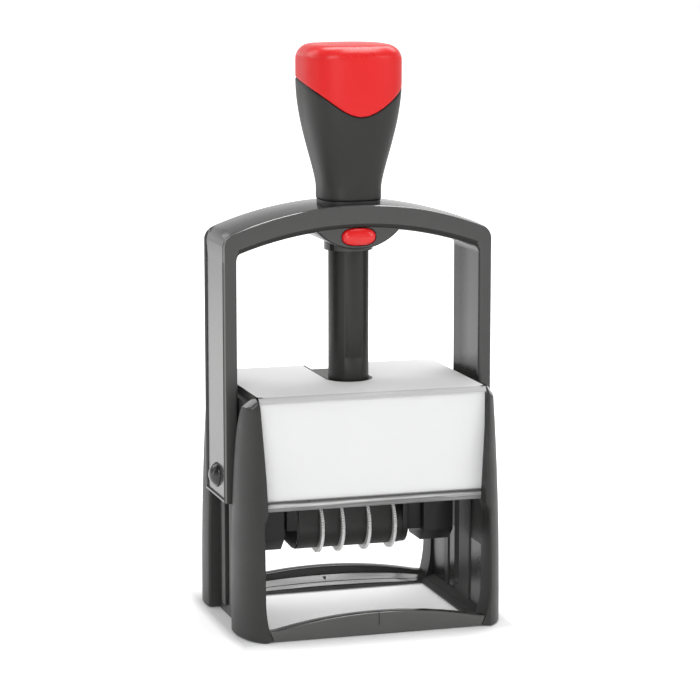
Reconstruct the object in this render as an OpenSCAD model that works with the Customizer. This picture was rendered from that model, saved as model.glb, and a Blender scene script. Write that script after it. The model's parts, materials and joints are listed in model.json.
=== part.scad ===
// Self-inking date stamp. An arched bridge slides down a fixed column, turns the die
// carrier over on its axle and brings the inked die down through the base window.
// Millimetres. The origin is the middle of the underside, the front faces -Y.

/* [Imprint] */
// Width of the text plate
plate_w = 68; // [60:1:76]
// Depth of the text plate
plate_d = 49; // [42:1:54]
// Thickness of the text plate
plate_t = 1.5; // [1:0.1:2]
// Thickness of the rubber die
die_t = 1.8; // [1.2:0.1:2.4]
// Gap between the text plate and the window edge
window_margin = 1; // [0.7:0.1:2]
// Height of the flip axle above the paper
axle_z = 50; // [47:0.5:56]
// Distance from the flip axle to the die face
die_reach = 8.3; // [7.8:0.1:9.5]

/* [Base] */
// Width of the side bars of the window frame
bar_w = 4.5; // [3.5:0.1:6]
// Height of the side bars at the wall
bar_h = 3.6; // [2.5:0.1:4]
// Distance from the window edge to the face of a sill
sill_d = 9.6; // [8:0.1:12]
// Height of a sill at its middle
sill_mid_h = 7.5; // [6:0.1:9]
// Height of a sill at its ends
sill_end_h = 3.4; // [2.8:0.1:5]
// Thickness of the side walls
wall_t = 2.4; // [1.8:0.1:3.2]
// Width of the axle pins
axle_d = 5; // [4:0.1:6]
// Width of one guide rail beside the axle slot
rail_w = 4.6; // [3:0.1:5]
// Height of the guide rails off the wall
rail_h = 1.1; // [0.8:0.1:1.3]
// How far the pillars stand outside the side walls
pillar_out = 4.1; // [3:0.1:5]
// How far the pillars stand in front of the sills
pillar_nose = 1.9; // [1:0.1:3]

/* [Casing] */
// Thickness of the casing walls
case_t = 1.6; // [1.2:0.1:1.8]
// Thickness of the casing roof
roof_t = 5.2; // [4.5:0.1:6]
// Depth of the rear slot in the roof
slot_depth = 0.3; // [0.2:0.1:2]
// Thickness of the index card
card_t = 0.3; // [0.2:0.1:0.5]
// Thickness of the clear index cover
cover_t = 0.9; // [0.7:0.1:1.2]
// Height of the clear lip below the index card
lip_h = 3.5; // [2.5:0.1:5]
// Thickness of the ink pad
pad_t = 6.5; // [5:0.1:8]
// Thickness of the pad tray web
tray_web = 1.5; // [1.2:0.1:2]
// Height of the tray rim above its web
tray_rim = 2.7; // [2:0.1:3.5]

/* [Bridge] */
// Half depth of the bridge
bridge_hd = 13.3; // [12:0.1:15]
// Thickness of the bridge legs
leg_t = 4.7; // [3.8:0.1:5]
// Radius of the arch
arch_r = 120; // [100:1:160]
// Height of the arch band at its middle
arch_band = 8.5; // [7:0.1:10]
// Width of the bevel under the arch
arch_bevel = 2.7; // [2:0.1:3.5]
// Radius of the outer corners of the bridge
corner_r = 5.5; // [4:0.1:7]
// Drop of the button boss below the arch
boss_drop = 7; // [6.5:0.1:8.5]
// Half width of the button boss
boss_hw = 14.3; // [12:0.1:17]
// Radius of the guide column
column_r = 6.85; // [6:0.05:7.5]
// Width of the lock button
button_w = 11.7; // [10:0.1:13]
// Height of the lock button
button_h = 5.9; // [5:0.1:6.4]
// Travel of the lock button
button_travel = 1.8; // [1:0.1:2]

/* [Handle] */
// Half size of the handle neck
neck_s = 10.4; // [9.8:0.1:12]
// Half size of the handle head
head_s = 16.8; // [14:0.1:20]
// Thickness of the cap above the bore
cap_roof = 5; // [4:0.1:8]
// Height of the dark collar below the handle
collar_h = 0.5; // [0.4:0.1:3]

/* [Date unit] */
// Drop of the wheel shaft below the flip axle
wheel_drop = 19.6; // [18:0.1:20.5]
// Radius of the thumb wheels
wheel_r = 9.6; // [9:0.1:10]
// Radius of the bands around the drums
band_r = 7.9; // [7:0.1:8.3]
// Widths of the four date bands
band_w = [7.8, 6.3, 8.3, 8.1]; // [5:0.1:9]
// Thickness of a date band
band_t = 1; // [0.8:0.1:1.3]
// Thickness of a thumb wheel
disc_t = 1; // [0.8:0.1:1.6]
// Distance from the middle to the left end of the bands
stack_left = 20; // [19:0.1:20.5]
// Width of the plain drum at the right end
spacer_w = 2.5; // [2:0.1:4]
// Number of teeth on a thumb wheel
wheel_teeth = 70; // [40:1:80]

/* [Hidden] */
$fn = 72;

// Running clearances
run_gap = 0.05;
slide_gap = 0.3;
thin_gap = 0.2;
fit_gap = 0.1;
eps = 0.01;

// Half sizes across, from the plate outwards
window_hw = plate_w / 2 + window_margin;
window_hd = plate_d / 2 + window_margin;
sill_lap = 1;
sill_hw = window_hw + sill_lap;
wall_x = window_hw + bar_w;
wall_out = wall_x + wall_t;
leg_in = wall_out + slide_gap;
leg_out = leg_in + leg_t;
pillar_x = wall_out + pillar_out;
sill_y = window_hd + sill_d;
pillar_y = sill_y + pillar_nose;
channel_gap = 0.9;
channel_hd = bridge_hd + channel_gap;
bar_hd = window_hd + sill_lap;

// Press and flip
die_lift = 0.2;
stroke = axle_z - die_reach - die_lift;
plate_hd = plate_d / 2;
sweep_r = norm([die_reach, plate_hd]);
sweep_top = max([for (t = [0:1:90]) die_reach * cos(t) + plate_hd * sin(t) - stroke * t / 180]);

// Casing heights, from the flip sweep upwards
pad_gap = 0.4;
pad_low = axle_z + sweep_top + pad_gap;
pad_top = pad_low + pad_t;
tray_top = pad_top + tray_web + tray_rim;
pad_proud = 2.8;
tray_low = pad_low + pad_proud;
roof_low = tray_top + slide_gap;
roof_top = roof_low + roof_t;
case_top = roof_top + card_t + cover_t;
lip_drop = 7.5;
lip_low = axle_z - lip_drop;
card_low = lip_low + lip_h;
cover_step = 4.1;
sweep_gap = 0.9;
cover_y = max(window_hd + cover_step, sweep_r + sweep_gap + case_t + card_t + cover_t);
case_y = cover_y - cover_t - card_t;
case_x = wall_x - thin_gap;
tray_x = case_x - case_t - slide_gap;
tray_y = case_y - case_t;
slot_gap = 0.25;
slot_hw = column_r + slot_gap;
slot_rim = 1;
rim_hw = slot_hw + slot_rim;
slot_floor = roof_top - slot_depth;
ledge_w = 2.2;
ledge_t = 1.3;

// Bridge heights, from the casing upwards
foot_gap = 1;
leg_low = stroke + foot_gap;
stop_gap = 3.8;
boss_low = case_top + stroke + stop_gap;
arch_under = boss_low + boss_drop;
arch_top = arch_under + arch_band;
column_rise = 3.3;
column_top = arch_top + collar_h + column_rise;
bore_spare = 2.5;
bore_top = column_top + stroke + bore_spare;
handle_low = arch_top + collar_h;
handle_top = bore_top + cap_roof;
boss_step = 1.2;
boss_y = bridge_hd - boss_step;
button_up = 4.4;
button_z = boss_low + button_up;
notch_up = 6.6;
tongue_z = case_top + notch_up + stroke;

// Date unit places
wheel_z = axle_z - wheel_drop;
unit_w = band_w[0] + band_w[1] + band_w[2] + band_w[3] + 4 * disc_t + spacer_w;
unit_x0 = -stack_left;
unit_x1 = unit_x0 + unit_w;
shaft_r = 1.5;
cheek_t = 2;
cheek_cone = 1.9;
cheek_left = unit_x0 - thin_gap - cheek_t - cheek_cone;
cheek_right = unit_x1 + thin_gap + cheek_t;
cheek_rim = 0.2;
cheek_r = band_r - cheek_rim;
tip_r = 3.2;
die_face_z = axle_z + die_reach;
plate_z = die_face_z - die_t - plate_t;
carrier_t = 1.6;
carrier_z = plate_z - carrier_t;
tip_z = die_face_z - tip_r;
block_gap_left = 1.6;
block_gap_right = 4.7;
block_left = cheek_left - block_gap_left;
block_right = cheek_right + block_gap_right;
block_hd = 10;
block_drop = 26;
block_low = axle_z - block_drop;
date_hd = 4.2;

// Start of band number i along the wheel shaft
function band_x(i) = i == 0 ? unit_x0 : band_x(i - 1) + band_w[i - 1] + disc_t;

// Extrude a front-view outline (x, z) from y0 to y1
module front_extrude(y0, y1) {
  translate([0, y1, 0]) rotate([90, 0, 0]) linear_extrude(y1 - y0) children();
}

// Extrude a side-view outline (y, z) from x0 to x1
module side_extrude(x0, x1) {
  translate([x0, 0, 0]) rotate([90, 0, 90]) linear_extrude(x1 - x0) children();
}

// Round bar along X at (y 0, z)
module x_bar(x0, x1, z, r) {
  translate([x0, 0, z]) rotate([0, 90, 0]) cylinder(h = x1 - x0, r = r);
}

// Box from its low and high corners
module box(low, high) {
  translate(low) cube(high - low);
}

// Copy on both sides of the YZ plane
module both_x() {
  children();
  mirror([1, 0, 0]) children();
}

// Copy on both sides of the XZ plane
module both_y() {
  children();
  mirror([0, 1, 0]) children();
}

// Window frame: two arched sills and two low side bars
sill_rim = 4.2;
sill_r = ((sill_mid_h - sill_end_h) ^ 2 + sill_hw ^ 2) / (2 * (sill_mid_h - sill_end_h));
toe_h = 1.4;
knee_h = 4.9;
knee_d = 3.6;
knee_y = window_hd + knee_d;
tab_in = 4;
tab_y0 = channel_hd + tab_in;
tab_y1 = window_hd - 1;
tab_out = 2.2;
tab_x = wall_out + tab_out;
tab_h = 2;
screw_off = 0.8;
screw_x = (wall_out + tab_x) / 2 - screw_off;
screw_y = (tab_y0 + tab_y1) / 2;
screw_r = 1.25;
screw_head_r = 2.1;
screw_head_h = 0.7;

module sill_profile() {
  polygon([[window_hd, 0], [window_hd, toe_h], [knee_y, knee_h], [sill_y - sill_rim, sill_mid_h],
    [sill_y, sill_mid_h], [sill_y, 0]]);
}

module window_frame() color("#3a3a39") difference() {
  union() {
    both_y() intersection() {
      side_extrude(-sill_hw, sill_hw) sill_profile();
      front_extrude(0, sill_y) translate([0, sill_mid_h - sill_r]) circle(sill_r, $fn = 200);
    }
    both_x() front_extrude(-bar_hd, bar_hd)
      polygon([[window_hw, 0], [window_hw, toe_h / 2], [wall_x, bar_h], [wall_x, 0]]);
    both_x() both_y() box([wall_x - 1, tab_y0, 0], [tab_x, tab_y1, tab_h]);
  }
  both_x() both_y() translate([screw_x, screw_y, -1]) cylinder(h = tab_h + 2, r = screw_r + fit_gap);
  both_x() both_y() translate([screw_x, screw_y, -1])
    cylinder(h = 1 + tab_h / 2, r = screw_head_r + fit_gap);
}

// Screws that hold the window frame under the pillars
screw_len = 9;
module frame_screws() color("#9a9a98") both_x() both_y() translate([screw_x, screw_y, 0]) {
  translate([0, 0, tab_h / 2 - screw_head_h]) cylinder(h = screw_head_h, r = screw_head_r);
  translate([0, 0, tab_h / 2]) cylinder(h = screw_len, r = screw_r);
}

// Side frame: two curved pillars and the slotted wall between them
pillar_top = case_top + fit_gap;
rear_drop = 4.2;
rear_top = pillar_top - rear_drop;
slot_r = axle_d / 2 + slide_gap;
slot_low_z = axle_z - stroke;
nose_y = 20;
nose_d = pillar_y - nose_y;
nose_end = 72;
pillar_foot_z = 10;
bow_r = 1100;
lean_r = 722;
shoulder_h = 3.4;
shoulder_w = 2.6;
brow_in = 0.2;
brow_x = wall_x - brow_in;
edge_steps = 7;
fin_gap = 0.8;
fin_y = channel_hd + fin_gap;
fin_step = 2;
fin_top_y = cover_y - fin_step;
fin_z = lip_low - fin_step;
lip_in_w = 2.6;
lip_in_low = window_hw + lip_in_w;
waist_step = 0.7;
waist_x = wall_x - waist_step;
lip_y = cover_y + fit_gap;
lip_slope = 3;
wall_drop = 2.4;
wall_top = case_top - wall_drop;
foot_h = 16;
flank_in = 0.4;

// Outer edge of a pillar in front view
function pillar_edge(z) = pillar_x - max(0, z - pillar_foot_z) ^ 2 / (2 * bow_r);

// Front edge of a pillar in side view
function pillar_front(z) = pillar_y - z * z / (2 * lean_r);

// Inward edge in side view of a pillar that ends at top
function pillar_rear(z, top) = z < fin_z ? fin_y
  : fin_y + (fin_top_y - fin_y) * (1 - sqrt(1 - ((z - fin_z) / (top - fin_z)) ^ 2));

// Inner edge of a pillar below the casing lip
function foot_edge(z) = waist_x - (waist_x - sill_hw) * (1 - z / foot_h) ^ 3;

module pillar_plan() {
  a = pillar_x - sill_hw;
  polygon(concat(
    [[wall_x, fin_y - 1], [pillar_x - flank_in, fin_y - 1]],
    [for (t = [-8:8:nose_end]) [sill_hw + a * cos(t), nose_y + nose_d * sin(t)]],
    [[sill_hw, sill_y], [sill_hw, bar_hd], [wall_x, bar_hd]]));
}

module pillar_front_view(top) {
  zs = top - shoulder_h;
  polygon(concat(
    [for (k = [0:edge_steps]) let (z = zs * k / edge_steps) [pillar_edge(z), z]],
    [[pillar_edge(zs) - shoulder_w, top], [brow_x, top], [lip_in_low, card_low],
      [lip_in_low, lip_low], [waist_x, lip_low - lip_slope]],
    [for (z = [foot_h:-2:0]) [foot_edge(z), z]]));
}

module pillar_side_view(top) {
  polygon(concat(
    [for (z = [0:10:70]) [pillar_front(z), z]],
    [[pillar_front(top), top]],
    [for (t = [0:0.125:1]) let (z = top + (fin_z - top) * t) [pillar_rear(z, top), z]],
    [[fin_y, 0]]));
}

module pillar(top) {
  difference() {
    intersection() {
      linear_extrude(top) pillar_plan();
      front_extrude(0, pillar_y + 1) pillar_front_view(top);
      side_extrude(0, pillar_x + 1) pillar_side_view(top);
    }
    box([0, 0, lip_low - lip_slope], [wall_x, lip_y, pillar_top + 1]);
    box([0, 0, -1], [wall_x, bar_hd, lip_low]);
  }
}

module side_frame() color("#454544") difference() {
  union() {
    pillar(rear_top);
    mirror([0, 1, 0]) pillar(pillar_top);
    box([wall_x, -fin_top_y, 0], [wall_out, fin_top_y, wall_top]);
    both_y() box([wall_out - eps, slot_r, bar_h], [wall_out + rail_h, slot_r + rail_w, wall_top]);
  }
  x_bar(wall_x - 1, wall_out + 1, axle_z, slot_r);
  x_bar(wall_x - 1, wall_out + 1, slot_low_z, slot_r);
  box([wall_x - 1, -slot_r, slot_low_z], [wall_out + 1, slot_r, axle_z]);
  both_y() box([0, tab_y0 - fit_gap, -1], [tab_x + fit_gap, tab_y1 + fit_gap, tab_h]);
  both_y() translate([screw_x, screw_y, -1]) cylinder(h = 1 + tab_h / 2, r = screw_head_r + fit_gap);
  both_y() translate([screw_x, screw_y, 0])
    cylinder(h = tab_h / 2 + screw_len + run_gap, r = screw_r + run_gap);
}

module right_side_frame() side_frame();

module left_side_frame() mirror([1, 0, 0]) side_frame();

// Casing over the ink pad, open below and at the rear for the tray
column_foot_r = 4;
column_screw_r = 1.5;
column_head_r = 3.1;
card_hold = 0.5;
skirt_h = 4;
module pad_case() color("#33363a") difference() {
  union() {
    box([-case_x, -case_y, roof_low], [case_x, case_y, roof_top]);
    box([-case_x, -case_y, card_low - card_hold], [case_x, case_t - case_y, roof_top]);
    box([-case_x, case_y - case_t, card_low - card_hold], [case_x, case_y, pad_low - slide_gap]);
    both_x() {
      box([case_x - case_t, -case_y, tray_low - skirt_h], [case_x, case_y, roof_top]);
      box([case_x - case_t - ledge_w, -case_y, tray_low - ledge_t - slide_gap],
        [case_x, case_y, tray_low - slide_gap]);
    }
    translate([0, 0, roof_low]) cylinder(h = case_top - roof_low, r = rim_hw);
    box([-rim_hw, 0, roof_low], [rim_hw, case_y, case_top]);
  }
  translate([0, 0, slot_floor]) cylinder(h = roof_t + 1, r = slot_hw);
  box([-slot_hw, 0, slot_floor], [slot_hw, case_y + 1, case_top + 1]);
  translate([0, 0, roof_low - 1]) cylinder(h = slot_floor - roof_low + 2, r = column_foot_r + run_gap);
}

// Clearance for the rim of the rear slot, from z upwards
module slot_cut(z) {
  translate([0, 0, z]) cylinder(h = case_top + 1 - z, r = rim_hw + fit_gap);
  box([-rim_hw - fit_gap, 0, z], [rim_hw + fit_gap, case_y + 1, case_top + 1]);
}

// White card behind the clear cover, folded over the roof
module index_card() color("#ececec") difference() {
  union() {
    box([-case_x, -case_y - card_t, card_low], [case_x, -case_y, roof_top + card_t]);
    box([-case_x, -case_y, roof_top], [case_x, case_y, roof_top + card_t]);
  }
  slot_cut(roof_top - 1);
}

// Clear cover over the card, with a rounded front edge and a lip below
cover_edge_r = 2;
module cover_side() {
  top = case_top - cover_edge_r;
  front = cover_edge_r - cover_y;
  difference() {
    union() {
      translate([-cover_y, lip_low]) square([cover_y + case_y, top - lip_low]);
      translate([front, lip_low]) square([case_y - front, case_top - lip_low]);
      translate([front, top]) circle(cover_edge_r);
    }
    translate([-case_y - card_t, card_low])
      square([2 * case_y + card_t + 1, roof_top + card_t - card_low]);
    translate([-case_y, lip_low - 1]) square([2 * case_y + 1, card_low - lip_low + 2]);
  }
}

module index_cover() color([0.86, 0.87, 0.88, 0.5]) difference() {
  side_extrude(-case_x, case_x) cover_side();
  slot_cut(roof_top);
}

// Fixed column with two lock notches and the spring bore
spring_bore_r = 4.6;
spring_seat = 16;
spring_low = slot_floor + spring_seat;
notch_h = 3;
notch_low_z = case_top + notch_up;
notch_step = 5;
notch_up_z = tongue_z - notch_step;
notch_in = 0.8;
column_screw_len = 12;
module guide_column() color("#3d3d3c") difference() {
  union() {
    translate([0, 0, slot_floor]) cylinder(h = column_top - slot_floor, r = column_r);
    translate([0, 0, roof_low]) cylinder(h = slot_floor - roof_low + eps, r = column_foot_r);
  }
  translate([0, 0, spring_low]) cylinder(h = column_top, r = spring_bore_r);
  for (z = [notch_low_z, notch_up_z])
    side_extrude(-column_r, column_r) polygon([[-column_r - 1, z + notch_h / 2],
      [notch_in - column_r, z + notch_h / 2], [-column_r, z - notch_h / 2],
      [-column_r - 1, z - notch_h / 2]]);
  translate([0, 0, roof_low - 1]) cylinder(h = column_screw_len + 1, r = column_screw_r);
  translate([0, 0, roof_low - 1]) cylinder(h = 2, r = column_head_r + fit_gap);
}

// Screw that holds the column from below
module column_screw() color("#9a9a98") {
  translate([0, 0, roof_low]) cylinder(h = 1, r = column_head_r);
  translate([0, 0, roof_low + 1 - eps]) cylinder(h = column_screw_len - 1, r = column_screw_r);
}

// Pad tray: a frame that slides out to the rear, with a pull flange
tray_wall = 1.8;
tray_flange_t = 1.5;
tray_flange_h = 3;
tray_rear = case_y + fit_gap;
pad_x = tray_x - tray_wall;
pad_y = tray_y - tray_wall;
module pad_tray() color("#2f2f2f") difference() {
  union() {
    box([-tray_x, -tray_y + slide_gap, tray_low], [tray_x, tray_rear, tray_top]);
    box([-tray_x, tray_rear, tray_low - tray_flange_h], [tray_x, tray_rear + tray_flange_t, tray_top]);
  }
  box([-pad_x, -pad_y, tray_low - 1], [pad_x, pad_y, pad_top]);
  box([-pad_x, -pad_y, pad_top + tray_web], [pad_x, pad_y, tray_top + 1]);
}

module ink_pad() color("#2b2740")
  box([-plate_w / 2, -plate_hd, pad_low], [plate_w / 2, plate_hd, pad_top]);

// Bridge: two legs, the arch and the boss for the lock button
under_r = arch_r;
inner_r = 2.5;
leg_rim = 1.8;
rim_front = 5.1;
panel_d = 0.6;
leg_foot = 0.9;
panel_end = 5;
panel_top = arch_under - panel_end;
boss_sag = boss_drop - 0.8;
boss_r = (boss_hw ^ 2 + boss_sag ^ 2) / (2 * boss_sag);
guide_r = column_r + run_gap;
guide_wall_r = 8.3;
guide_low = boss_low - 1;
collar_s = neck_s - thin_gap;
collar_seat = 1.5;
pocket_w = button_w + 2 * thin_gap;
pocket_h = button_h + 2 * thin_gap;
pocket_wall = 1.05;
pocket_y = -guide_r - pocket_wall;
tongue_w = 3.6;
tongue_h = 1.6;
pin_r = axle_d / 2;

// Front view of an arch on two straight sides
module arch_shape(hw, top, r, rc, low) {
  zc = top - r + sqrt((r - rc) ^ 2 - (hw - rc) ^ 2);
  xt = hw - rc + rc * (hw - rc) / (r - rc);
  intersection() {
    translate([0, top - r]) circle(r, $fn = 240);
    translate([-xt, low]) square([2 * xt, top - low]);
  }
  for (s = [-1, 1]) {
    translate([s * (hw - rc), zc]) circle(rc);
    translate([s * (hw - rc / 2) - rc / 2, low]) square([rc, zc - low]);
  }
}

// Rounded square of half size s
round_n = 3;
round_sides = 32;
function round_square(s, n = round_sides) = [for (i = [0:n - 1]) let (a = 360 * i / n)
  s / (pow(abs(cos(a)), round_n) + pow(abs(sin(a)), round_n)) ^ (1 / round_n) * [cos(a), sin(a)]];

// Oval of the lock button, standing in front view
module oval(w, h) {
  square([w - h, h], center = true);
  for (s = [-1, 1]) translate([s * (w - h) / 2, 0]) circle(h / 2);
}

module bridge_frame() color("#4a4a49") difference() {
  union() {
    front_extrude(-bridge_hd, bridge_hd) difference() {
      arch_shape(leg_out, arch_top, arch_r, corner_r, leg_low);
      arch_shape(leg_in, arch_under, under_r, inner_r, leg_low - 1);
    }
    front_extrude(-boss_y, boss_y) intersection() {
      translate([0, boss_low + boss_r]) circle(boss_r);
      translate([-boss_hw, boss_low]) square([2 * boss_hw, boss_drop + 1]);
    }
    translate([0, 0, guide_low]) cylinder(h = boss_drop + 3, r = guide_wall_r);
  }
  both_y() intersection() {
    translate([0, -bridge_hd, arch_under - under_r]) rotate([-90, 0, 0])
      cylinder(h = arch_bevel, r1 = under_r + arch_bevel, r2 = under_r, $fn = 240);
    union() {
      box([boss_hw + 1, -bridge_hd - 1, boss_low], [leg_in - 1, 0, arch_top]);
      box([-leg_in + 1, -bridge_hd - 1, boss_low], [-boss_hw - 1, 0, arch_top]);
      box([-boss_hw - 2, -bridge_hd - 1, boss_low], [boss_hw + 2, -boss_y, arch_top]);
    }
  }
  both_x() {
    box([leg_out - panel_d, rim_front - bridge_hd, leg_low + leg_foot],
      [leg_out + 1, bridge_hd - leg_rim, panel_top]);
    box([leg_in - 1, leg_rim - bridge_hd, leg_low - 1], [leg_in + rail_h, bridge_hd + 1, panel_top]);
    x_bar(leg_in - 1, leg_out + 1, axle_z, pin_r);
  }
  translate([0, 0, guide_low - 1]) cylinder(h = arch_top - guide_low + 2, r = guide_r);
  translate([0, 0, arch_top - collar_seat]) linear_extrude(collar_seat + 1) polygon(round_square(collar_s));
  front_extrude(-boss_y - 2, pocket_y) translate([0, button_z]) oval(pocket_w, pocket_h);
  box([-tongue_w / 2 - thin_gap, pocket_y - 1, tongue_z - tongue_h / 2 - thin_gap],
    [tongue_w / 2 + thin_gap, 0, tongue_z + tongue_h / 2 + thin_gap]);
}

// Dark collar between the arch and the handle
module handle_collar() color("#242424") difference() {
  translate([0, 0, arch_top - collar_seat]) linear_extrude(collar_seat + collar_h)
    polygon(round_square(collar_s));
  translate([0, 0, arch_top - collar_seat - 1])
    cylinder(h = collar_seat + collar_h + 2, r = column_r + fit_gap);
}

// Handle: a waisted grip and a cap that meet along a slanted curve
neck_h = 4;
flare_low = handle_low + neck_h;
flare_ease = 0.75;
head_h = 12;
flare_top = handle_top - head_h;
shoulder_drop = 5.6;
shoulder_z = handle_top - shoulder_drop;
shoulder_in = 4.9;
cut_drop = 23.8;
cut_front = handle_top - cut_drop;
cut_wave = 5.2;
cut_turn = 131;
cut_tilt = 2.6;
top_dome = 0.5;
grip_rings = 12;
head_rings = 4;
dome_rings = 5;

function smooth(t) = t <= 0 ? 0 : t >= 1 ? 1 : t * t * (3 - 2 * t);

// Half size of the handle at height z
function handle_s(z) = z <= shoulder_z
  ? neck_s + (head_s - neck_s) * smooth(pow(max(0, z - flare_low) / (flare_top - flare_low), flare_ease))
  : let (u = min(1, (z - shoulder_z) / (handle_top - top_dome - shoulder_z)))
    head_s - shoulder_in * (1 - sqrt(1 - u * u));

// Height of the parting curve above the point p of a section
function cut_z(p) = cut_front + cut_wave * (1 - cos(cut_turn * p[0] / head_s))
  + cut_tilt * (1 + p[1] / head_s);

// Parting heights round the head
cut_ring = [for (p = round_square(head_s)) cut_z(p)];

function handle_point(i, z) = let (p = round_square(handle_s(z))[i]) [p[0], p[1], z];

// Closed body from rings of points, with a fan on each end
module ring_body(rings, low_mid, high_mid) {
  n = len(rings[0]);
  m = len(rings);
  points = concat([for (r = rings) each r], [low_mid, high_mid]);
  sides = [for (k = [0:m - 2]) for (i = [0:n - 1]) let (j = (i + 1) % n)
    each [[k * n + i, (k + 1) * n + i, (k + 1) * n + j], [k * n + i, (k + 1) * n + j, k * n + j]]];
  low_fan = [for (i = [0:n - 1]) [m * n, i, (i + 1) % n]];
  high_fan = [for (i = [0:n - 1]) [m * n + 1, (m - 1) * n + (i + 1) % n, (m - 1) * n + i]];
  polyhedron(points, concat(sides, low_fan, high_fan));
}

cut_mid = [0, 0, cut_front + cut_wave];
module handle_grip() color("#3e3e3d") difference() {
  ring_body([for (k = [0:grip_rings]) [for (i = [0:round_sides - 1])
    let (top = cut_ring[i])
    handle_point(i, handle_low + (top - handle_low) * k / grip_rings)]],
    [0, 0, handle_low], cut_mid);
  translate([0, 0, handle_low - 1]) cylinder(h = bore_top - handle_low, r = column_r + fit_gap);
}

module handle_cap() color("#e83a3c") difference() {
  ring_body(concat(
    [for (k = [0:head_rings]) [for (i = [0:round_sides - 1])
      let (low = cut_ring[i])
      handle_point(i, low + (shoulder_z - low) * k / head_rings)]],
    [for (k = [1:dome_rings])
      let (z = shoulder_z + (handle_top - top_dome - shoulder_z) * sin(90 * k / dome_rings))
      [for (i = [0:round_sides - 1]) handle_point(i, z)]]),
    cut_mid, [0, 0, handle_top]);
  translate([0, 0, handle_low]) cylinder(h = bore_top - handle_low, r = column_r + fit_gap);
}

// Axle pins with domed heads on the outside of the legs
knob_r = 4.3;
knob_h = 2.8;
knob_dome_r = (knob_r ^ 2 + knob_h ^ 2) / (2 * knob_h);
pin_reach = 4.5;
pin_in = wall_x - pin_reach;
module axle_pin() color("#1d1d1d") {
  x_bar(pin_in, leg_out - panel_d + eps, axle_z, pin_r - run_gap);
  translate([leg_out - panel_d, 0, axle_z]) rotate([0, 90, 0]) intersection() {
    translate([0, 0, knob_h - knob_dome_r]) sphere(knob_dome_r);
    cylinder(h = knob_h, r = knob_dome_r);
  }
}

module axle_pin_right() axle_pin();

module axle_pin_left() mirror([1, 0, 0]) axle_pin();

// Return spring inside the column and the handle
spring_r = 4.2;
spring_wire = 1;
module return_spring() color("#a8a8a8") difference() {
  translate([0, 0, spring_low]) cylinder(h = bore_top - spring_low, r = spring_r);
  translate([0, 0, spring_low - 1]) cylinder(h = bore_top - spring_low + 2, r = spring_r - spring_wire);
}

// Lock button with the tongue that reaches for a notch in the column
button_proud = 0.3;
button_front = -bridge_hd - button_proud;
button_t = 2.4;
dome_r = 17;
module lock_button() color("#ea3b3d") {
  intersection() {
    front_extrude(button_front, button_front + button_t) translate([0, button_z]) oval(button_w, button_h);
    translate([0, button_front + dome_r, button_z]) sphere(dome_r, $fn = 96);
  }
  box([-tongue_w / 2, button_front + button_t - eps, tongue_z - tongue_h / 2],
    [tongue_w / 2, -column_r - button_travel - thin_gap, tongue_z + tongue_h / 2]);
}

// Two short coils behind the button, at their pressed length
button_coil_r = 1.5;
button_wire = 0.5;
button_coil_x = 3.9;
module button_spring() color("#a8a8a8") {
  length = pocket_y - button_front - button_t - button_travel - fit_gap;
  both_x() translate([button_coil_x, pocket_y, button_z]) rotate([90, 0, 0]) difference() {
    cylinder(h = length, r = button_coil_r);
    translate([0, 0, -1]) cylinder(h = length + 2, r = button_coil_r - button_wire);
  }
}

// Die carrier: a plate with two hanging end blocks on the flip axle
carrier_lap = 0.4;
carrier_x = plate_w / 2 + carrier_lap;
block_side = 1.6;
block_out = wall_x - block_side;
web_hd = 6;
web_foot = 2.4;
web_low = wheel_z - web_foot;
block_cut = 4;
hub_top = carrier_z - 1.2;
hub_low = axle_z - 8;
cheek_gap = 0.6;
pin_end = 0.5;
module block_profile() {
  polygon([[-block_hd, carrier_z + eps], [-block_hd, block_low + block_cut],
    [block_cut - block_hd, block_low], [block_hd - block_cut, block_low],
    [block_hd, block_low + block_cut], [block_hd, carrier_z + eps]]);
}

module die_carrier() color("#2a2a2a") difference() {
  union() {
    box([-carrier_x, -plate_hd, carrier_z], [carrier_x, plate_hd, plate_z]);
    side_extrude(-carrier_x, block_left) block_profile();
    side_extrude(block_right, carrier_x) block_profile();
    both_x() box([carrier_x - eps, -block_hd, hub_low], [block_out, block_hd, hub_top]);
    box([block_left - eps, -web_hd, web_low], [cheek_left, web_hd, carrier_z + eps]);
    box([cheek_right, -web_hd, web_low], [block_right + eps, web_hd, carrier_z + eps]);
  }
  both_x() x_bar(pin_in - pin_end, block_out + 1, axle_z, pin_r);
  box([cheek_left - fit_gap, -cheek_r - cheek_gap, carrier_z - 1],
    [cheek_right + fit_gap, cheek_r + cheek_gap, plate_z + 1]);
}

// Text plate and rubber die, with a window for the date
module plate_sheet(z, t) difference() {
  box([-plate_w / 2, -plate_hd, z], [plate_w / 2, plate_hd, z + t]);
  box([cheek_left - fit_gap, -date_hd, z - 1], [cheek_right + fit_gap, date_hd, z + t + 1]);
}

module text_plate() color("#8d8f92") plate_sheet(plate_z, plate_t);

module text_die() color("#8b3c34") plate_sheet(plate_z + plate_t, die_t);

// Side view of a loop round the drum and over the tip
loop_step = 7.5;
function loop_points(inset) =
  let (r1 = band_r - inset, r2 = tip_r - inset, a = asin((r1 - r2) / (tip_z - wheel_z)))
  concat([for (t = [a:loop_step:180 - a]) [r2 * cos(t), tip_z + r2 * sin(t)]],
    [for (t = [180 - a:loop_step:360 + a]) [r1 * cos(t), wheel_z + r1 * sin(t)]],
    [[r1 * cos(a), wheel_z + r1 * sin(a)]]);

module date_band(i) color("#262626")
  side_extrude(band_x(i) + thin_gap, band_x(i) + band_w[i] - thin_gap) difference() {
    polygon(loop_points(0));
    polygon(loop_points(band_t));
  }

module date_band_1() date_band(0);

module date_band_2() date_band(1);

module date_band_3() date_band(2);

module date_band_4() date_band(3);

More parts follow.
